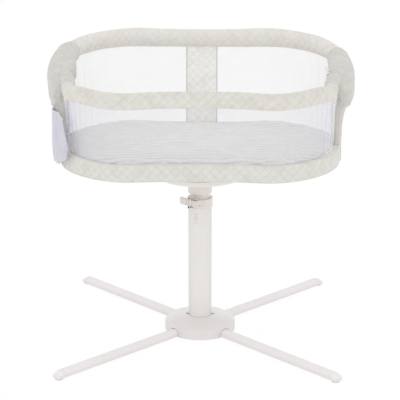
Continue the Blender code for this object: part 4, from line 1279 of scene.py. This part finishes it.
# ---------------------------------------------------------------- legs and hub
def leg_ring(scale=1.0, drop=0.0, grow=0.0, steps=22):
    """Half-round section with eased lower corners: (across, up)."""
    half, height, side = LEG_WIDTH / 2 + grow, LEG_HEIGHT + grow, 0.0055
    ring = [(-half + 0.003, 0.0), (half - 0.003, 0.0), (half - 0.0009, 0.0009), (half, 0.003)]
    for i in range(steps + 1):
        angle = math.pi * i / steps
        ring.append((half * math.cos(angle), side + (height - side) * math.sin(angle)))
    ring += [(-half, 0.003), (-half + 0.0009, 0.0009)]
    return np.array(ring) * (scale, 1 - drop)


def leg_mesh(name, angle, rings):
    """Sections at distances from the column, along a leg at angle."""
    cosine, sine = math.cos(math.radians(angle)), math.sin(math.radians(angle))
    points = [
        [(far * cosine + y * sine, far * sine - y * cosine, LEG_Z + z) for y, z in ring]
        for far, ring in rings
    ]
    return grid_mesh(name, np.array(points), closed_v=True, caps=True)


def legs():
    """Each leg's tube, and the rounded tip after a fine groove."""
    groove = leg_ring(0.985, 0.012)
    tube = [(far, leg_ring()) for far in (0.062, 0.0622, 0.15, 0.25, 0.35, 0.45)]
    tube += [(CAP_START - 0.0014, leg_ring()), (CAP_START - 0.0006, groove)]
    tip = [(CAP_START - 0.0002, groove), (CAP_START + 0.0003, leg_ring())]
    for k in range(13):
        part = k / 12
        width = math.sqrt(1 - 0.88 * (max(part - 0.45, 0.0) / 0.55) ** 2.4)
        far = CAP_START + 0.0008 + 0.0235 * (1 - (1 - part) ** 1.3)
        tip.append((far, leg_ring(width, 0.08 * part + 0.56 * part ** 1.5)))
    for leg, angle in LEGS.items():
        for name, rings, slot, old in (
            (f"leg_tube_{leg}", tube, "painted_steel", f"leg_{leg}"),
            (f"leg_tip_{leg}", tip, "hub_plastic", f"leg_end_cap_{leg}"),
        ):
            make(name, leg_mesh(name, angle, rings), "leg", "base", old, angle=38)


# (radius, z): over the top and down the rim, then back along the inside
HUB_PROFILE = [
    (0.0367, 0.0480), (0.0450, 0.0476), (0.0550, 0.0465), (0.0650, 0.0447), (0.0750, 0.0425),
    (0.0860, 0.0398), (0.0950, 0.0370), (0.1020, 0.0344), (0.1065, 0.0318), (0.1095, 0.0285),
    (0.1110, 0.0245), (0.1110, 0.0030), (0.1104, 0.0022),
    (0.1084, 0.0022), (0.1084, 0.0265), (0.1045, 0.0300), (0.0750, 0.0397), (0.0367, 0.0450),
]


def hub():
    """Domed cover with an arch over each leg, and a notch on both sides of the column."""
    obj = make("hub_cover_moulding", turned("hub_cover_moulding", HUB_PROFILE, 160), "hub")
    ring = leg_ring(grow=0.0012)
    ring[:, 1] = np.where(ring[:, 1] < 0.004, -0.012, ring[:, 1])
    arch = [(0.088, ring), (0.130, ring)]
    cutters = [helper(leg_mesh("arch", angle, arch)) for angle in LEGS.values()]
    for sign in (-1, 1):
        x, half = sign * 0.0398, 0.0036
        notch = box_mesh((x - half, -0.0046, 0.0405), (x + half, 0.0046, 0.056))
        cutters.append(helper(notch))
    cut(obj, cutters)
    dress(obj, "hub", "base", "hub_cover", angle=32)


# ---------------------------------------------------------------- column and swivel dish
# Profiles are (radius, z)
NECK_PROFILE = [
    (0.0365, 0.4997), (0.0365, 0.4512), (0.0345, 0.4480), (0.0303, 0.4480), (0.0303, 0.4853),
    (0.0100, 0.4853), (0.0100, 0.4997),
]
LOWER_DISH = [
    (0.1325, BOWL_TOP), (0.1322, 0.5105), (0.1312, 0.5055), (0.1290, 0.5020), (0.1255, 0.5004),
    (0.0560, 0.5003), (0.0366, 0.5003), (0.0366, 0.5030), (0.1265, 0.5035), (0.1290, 0.5065),
    (0.1299, BOWL_TOP),
]
UPPER_DISH = [
    (0.1398, BED_DISH_TOP), (0.1396, 0.5520), (0.1372, 0.5440), (0.1352, 0.5350),
    (0.1340, 0.5270), (0.1332, 0.5200), (0.1328, 0.5178), (0.1300, 0.5176), (0.1318, 0.5300),
    (0.1345, 0.5440), (0.1360, 0.5515), (0.0700, 0.5515), (0.0700, BED_DISH_TOP),
]


def column_and_dish():
    """The tubes and neck, the bowl under the swivel, and the upper half that turns."""
    outer = tube_section(COLUMN_RADIUS, 0.03535, top=0.4300, bottom=0.0440)
    inner = tube_section(INNER_RADIUS, 0.0284, top=0.4850, bottom=0.0620)
    # name, profile, corner radius, steps round, material, body, slot, CAD piece
    for name, profile, ease, steps, look, body, slot, old in (
        ("outer_column_skin", outer, 0.0003, 128, "column", "base", "painted_steel",
         "outer_column_tube"),
        ("inner_column_skin", inner, 0.0004, 128, "inner", "upper_column", "inner_paint",
         "inner_column_tube"),
        ("neck_moulding", NECK_PROFILE, 0.0012, 128, "neck", "upper_column", "neck_plastic",
         "dish_neck"),
        ("swivel_dish_lower_moulding", LOWER_DISH, 0.0008, 160, "dish", "upper_column",
         "dish_plastic", "swivel_dish_lower"),
        ("swivel_dish_upper_moulding", UPPER_DISH, 0.0006, 160, "dish", "bed",
         "dish_plastic", "swivel_dish_upper"),
    ):
        mesh = turned(name, rounded(profile, ease), steps)
        make(name, mesh, look, body, old, angle=30)


# ---------------------------------------------------------------- clamp
# The clamp's frame: origin on the lever's pin, X along the ears, Y towards the column
PIN = Vector((-0.0345, -0.0345, 0.0))
ALONG = Vector((0.0365, -0.0230))
CLAMP = Matrix.Translation(PIN) @ Matrix.Rotation(math.atan2(ALONG.y, ALONG.x), 4, "Z")
COLUMN_Y = (CLAMP.inverted() @ Vector((0, 0, 0))).y  # the column's axis in that frame
CLAMP_LOW, CLAMP_HIGH = 0.4140, 0.4375  # z of the ears
PIN_HOLE = 0.0025  # radius
COLLAR_PROFILE = [
    (0.0392, 0.4340), (0.0392, 0.4322), (0.0388, 0.4314), (0.0388, 0.4074), (0.0392, 0.4066),
    (0.0392, 0.4050), (0.0364, 0.4050), (0.0364, 0.4303), (0.0306, 0.4303), (0.0306, 0.4340),
]


def pin_rod(low, high, radius, segments=48, ease=0.0):
    return rod_mesh(PIN + Vector((0, 0, low)), PIN + Vector((0, 0, high)), radius, segments, ease)


def clamp_collar():
    """Ring with a slotted block of ears, plates for the pin, and sixteen raised dots."""
    name = "clamp_collar_moulding"
    collar = make(name, turned(name, rounded(COLLAR_PROFILE, 0.0007), 128), "clamp")
    ear_high = (0.0415, COLUMN_Y - 0.0370, CLAMP_HIGH)
    joined = [helper(box_mesh((0.0070, -0.0070, CLAMP_LOW), ear_high, CLAMP, 0.0018, 3))]
    plate = 0.0030
    for z in (CLAMP_LOW, CLAMP_HIGH - plate):
        low, high = (-0.0045, -0.0045, z), (0.0100, 0.0045, z + plate)
        joined.append(helper(box_mesh(low, high, CLAMP, 0.0009, 2)))
    pitch = 0.0052
    out = (CLAMP.to_3x3() @ Vector((0, -1, 0))).normalized()
    dots = []
    for i in range(4):
        for k in range(4):
            z = CLAMP_LOW + 0.0040 + pitch * k
            centre = CLAMP @ Vector((0.0215 + pitch * i, -0.0068, z))
            dots.append(helper(rod_mesh(centre, centre + out * 0.0013, 0.0017, 16, 0.0004)))
    cut(collar, joined, "UNION")
    cut(collar, dots, "UNION")
    slot = box_mesh((0.0157, -0.03, 0.395), (0.0173, 0.0170, 0.445), CLAMP)
    recess_low, recess_high = (0.0085, -0.012, CLAMP_LOW - 0.002), (0.0150, 0.0060, CLAMP_LOW + 0.0034)
    recess = box_mesh(recess_low, recess_high, CLAMP)
    bolt_ends = [CLAMP @ Vector((x, 0, 0.42)) for x in (0.001, 0.0375)]
    bolt_hole = rod_mesh(*bolt_ends, 0.0027, 24)
    pin_hole = pin_rod(0.39, 0.45, PIN_HOLE, 24)
    cut(collar, [helper(mesh) for mesh in (slot, recess, bolt_hole, pin_hole)])
    dress(collar, "clamp", "base", "clamp_collar", angle=30)


def paddle_mesh():
    """Flat lever blade, swept away from the pin in 15 rounded sections."""
    sections = []
    for k in range(15):
        part = k / 14
        x = -0.0030 - 0.0268 * part
        thick = 0.0030 + 0.0012 * math.sin(math.pi * min(1, part * 1.15))
        thick = thick - 0.0016 * step(0.85, 1.0, part)
        tall = 0.0084 + 0.0030 * step(0.05, 0.30, part) - 0.0032 * step(0.88, 1.0, part) ** 2
        ring = []
        for m in range(24):
            cosine, sine = math.cos(TAU * m / 24), math.sin(TAU * m / 24)
            y = math.copysign(abs(cosine) ** 0.45, cosine) * thick - 0.0016 * part * part
            z = math.copysign(abs(sine) ** 0.45, sine) * tall
            ring.append(CLAMP @ Vector((x, y, 0.4262 + 0.0030 * part + z)))
        sections.append(ring)
    return grid_mesh("paddle", np.array(sections), closed_v=True, caps=True)


def clamp_lever():
    """Lever round the pin, dark strips of painted shadow in the gaps beside the ears, and the pin's
    head.
    """
    gap = 0.0034
    barrel = pin_rod(CLAMP_LOW + gap, CLAMP_HIGH - gap, 0.0056, ease=0.0006)
    lever = make("clamp_lever_moulding", barrel, "lever")
    cut(lever, [helper(paddle_mesh())], "UNION")
    notch = box_mesh((-0.0056, -0.02, 0.4169), (0.02, 0.02, 0.4231), CLAMP)
    cut(lever, [helper(notch), helper(pin_rod(0.39, 0.45, PIN_HOLE, 24))])
    dress(lever, "lever", "clamp_lever", "clamp_lever", angle=30)

    # The two thin dark boxes are painted shadow in the gaps above and below the ears.
    upper = ((0.0100, -0.0062, CLAMP_HIGH - 0.0006), (0.0345, -0.0028, CLAMP_HIGH + 0.0004))
    lower = ((0.0095, -0.0073, CLAMP_LOW + 0.0002), (0.0200, -0.0045, CLAMP_LOW + 0.0022))
    head = pin_rod(CLAMP_HIGH - 0.0060, CLAMP_HIGH + 0.0012, 0.0029, 32, 0.0005)
    for name, mesh in (
        ("clamp_gap_painted_shadow_upper", box_mesh(*upper, CLAMP)),
        ("clamp_gap_painted_shadow_lower", box_mesh(*lower, CLAMP)),
        ("lever_pin_head", head),
    ):
        make(name, mesh, "pin", "base", angle=35)


# ---------------------------------------------------------------- printed height ticks
def ticks(name, tube_radius, marks, centre, body):
    """Short marks just proud of a tube. marks are (z, width), centre is in degrees from +X."""
    steps, half_height = 9, 0.0006
    radius = tube_radius + 0.00012
    points, faces = [], []
    for level, width in marks:
        half_angle = width / radius / 2
        base = len(points)
        for z in (level - half_height, level + half_height):
            for k in range(steps):
                angle = math.radians(centre) - half_angle + 2 * half_angle * k / (steps - 1)
                points.append((radius * math.cos(angle), radius * math.sin(angle), z))
        for k in range(base, base + steps - 1):
            faces.append((k, k + 1, k + steps + 1, k + steps))
    mesh = bpy.data.meshes.new(name)
    mesh.from_pydata(points, [], faces)
    make(name, mesh, "tick", body)


def height_ticks():
    marks = [(0.388 - 0.007 * k, (0.015, 0.009)[k % 2]) for k in range(5)]
    ticks("column_height_ticks", COLUMN_RADIUS, marks, 251, "base")
    marks = [(0.185 + 0.0254 * k, (0.012, 0.008)[k % 2]) for k in range(10)]
    ticks("inner_tube_height_ticks", INNER_RADIUS, marks, 262, "upper_column")


# ---------------------------------------------------------------- floor, light and camera
def backdrop():
    """White floor that mostly glows for the camera, and is matt for other rays."""
    edit = bmesh.new()
    bmesh.ops.create_grid(edit, x_segments=8, y_segments=8, size=40.0)
    mesh = bpy.data.meshes.new("studio_floor")
    edit.to_mesh(mesh)
    edit.free()
    mat = Shader("studio_floor_white")
    mat.set(
        Base_Color=(0.88, 0.88, 0.88), Roughness=1.0, Specular_IOR_Level=0.0,
        Emission_Color=(1.0, 1.0, 1.0), Emission_Strength=0.18,
    )
    glow = mat.node("Emission")
    glow.inputs["Strength"].default_value = 1.003
    paper = mat.node("MixShader")
    seen = mat.node("LightPath").outputs["Is Camera Ray"]
    mat.link(mat.times(seen, 0.93), paper.inputs[0])
    mat.link(mat.bsdf.outputs[0], paper.inputs[1])
    mat.link(glow.outputs[0], paper.inputs[2])
    mat.link(paper.outputs[0], mat.out.inputs["Surface"])
    floor = bare("studio_floor", mesh)
    mesh.materials.append(mat.material)
    floor.location = (0, 0, -0.0003)


def softbox(name, place, target_z, size, power):
    """Square light aimed at a point on the column's axis."""
    light = bpy.data.lights.new(name, "AREA")
    light.energy, light.size = power, size
    obj = bare(name, light)
    obj.location = place
    aim = Vector((0, 0, target_z)) - Vector(place)
    obj.rotation_euler = aim.to_track_quat("-Z", "Y").to_euler()


def studio():
    softbox("key_softbox", (-1.6, -2.6, 3.2), target_z=0.6, size=2.4, power=5.5)
    softbox("fill_softbox", (2.6, -1.6, 2.2), target_z=0.6, size=2.4, power=3.0)
    softbox("top_softbox", (0.0, 0.6, 3.6), target_z=0.5, size=2.6, power=3.5)
    scene = bpy.context.scene
    scene.world = bpy.data.worlds.new("studio")
    scene.world.use_nodes = True
    colour, strength = scene.world.node_tree.nodes["Background"].inputs[:2]
    colour.default_value = (1.0, 1.0, 1.0, 1.0)
    strength.default_value = 0.89
    view = scene.view_settings
    view.view_transform = "Standard"
    view.look = "None"
    view.exposure = 0.0
    view.gamma = 1.0


def camera():
    """In front, turned slightly to the right, looking down a little."""
    turn, reach, height, down = math.radians(1.2), 3.808, 1.554, 16.532
    lens = bpy.data.cameras.new("photo_angle")
    lens.sensor_width = 36.0
    lens.lens = 115.4898
    lens.clip_end = 200.0
    obj = bare("photo_angle", lens)
    obj.location = (math.sin(turn) * reach, -math.cos(turn) * reach, height)
    obj.rotation_euler = (math.radians(90 - down), 0, turn)
    bpy.context.scene.camera = obj


rear_rail()
front_rail()
tray_band()
mattress()
tray_liner()
rear_panel()
rear_nets()
front_walls()
end_posts()
side_pouch()
legs()
hub()
column_and_dish()
clamp_collar()
clamp_lever()
height_ticks()
backdrop()
studio()
camera()
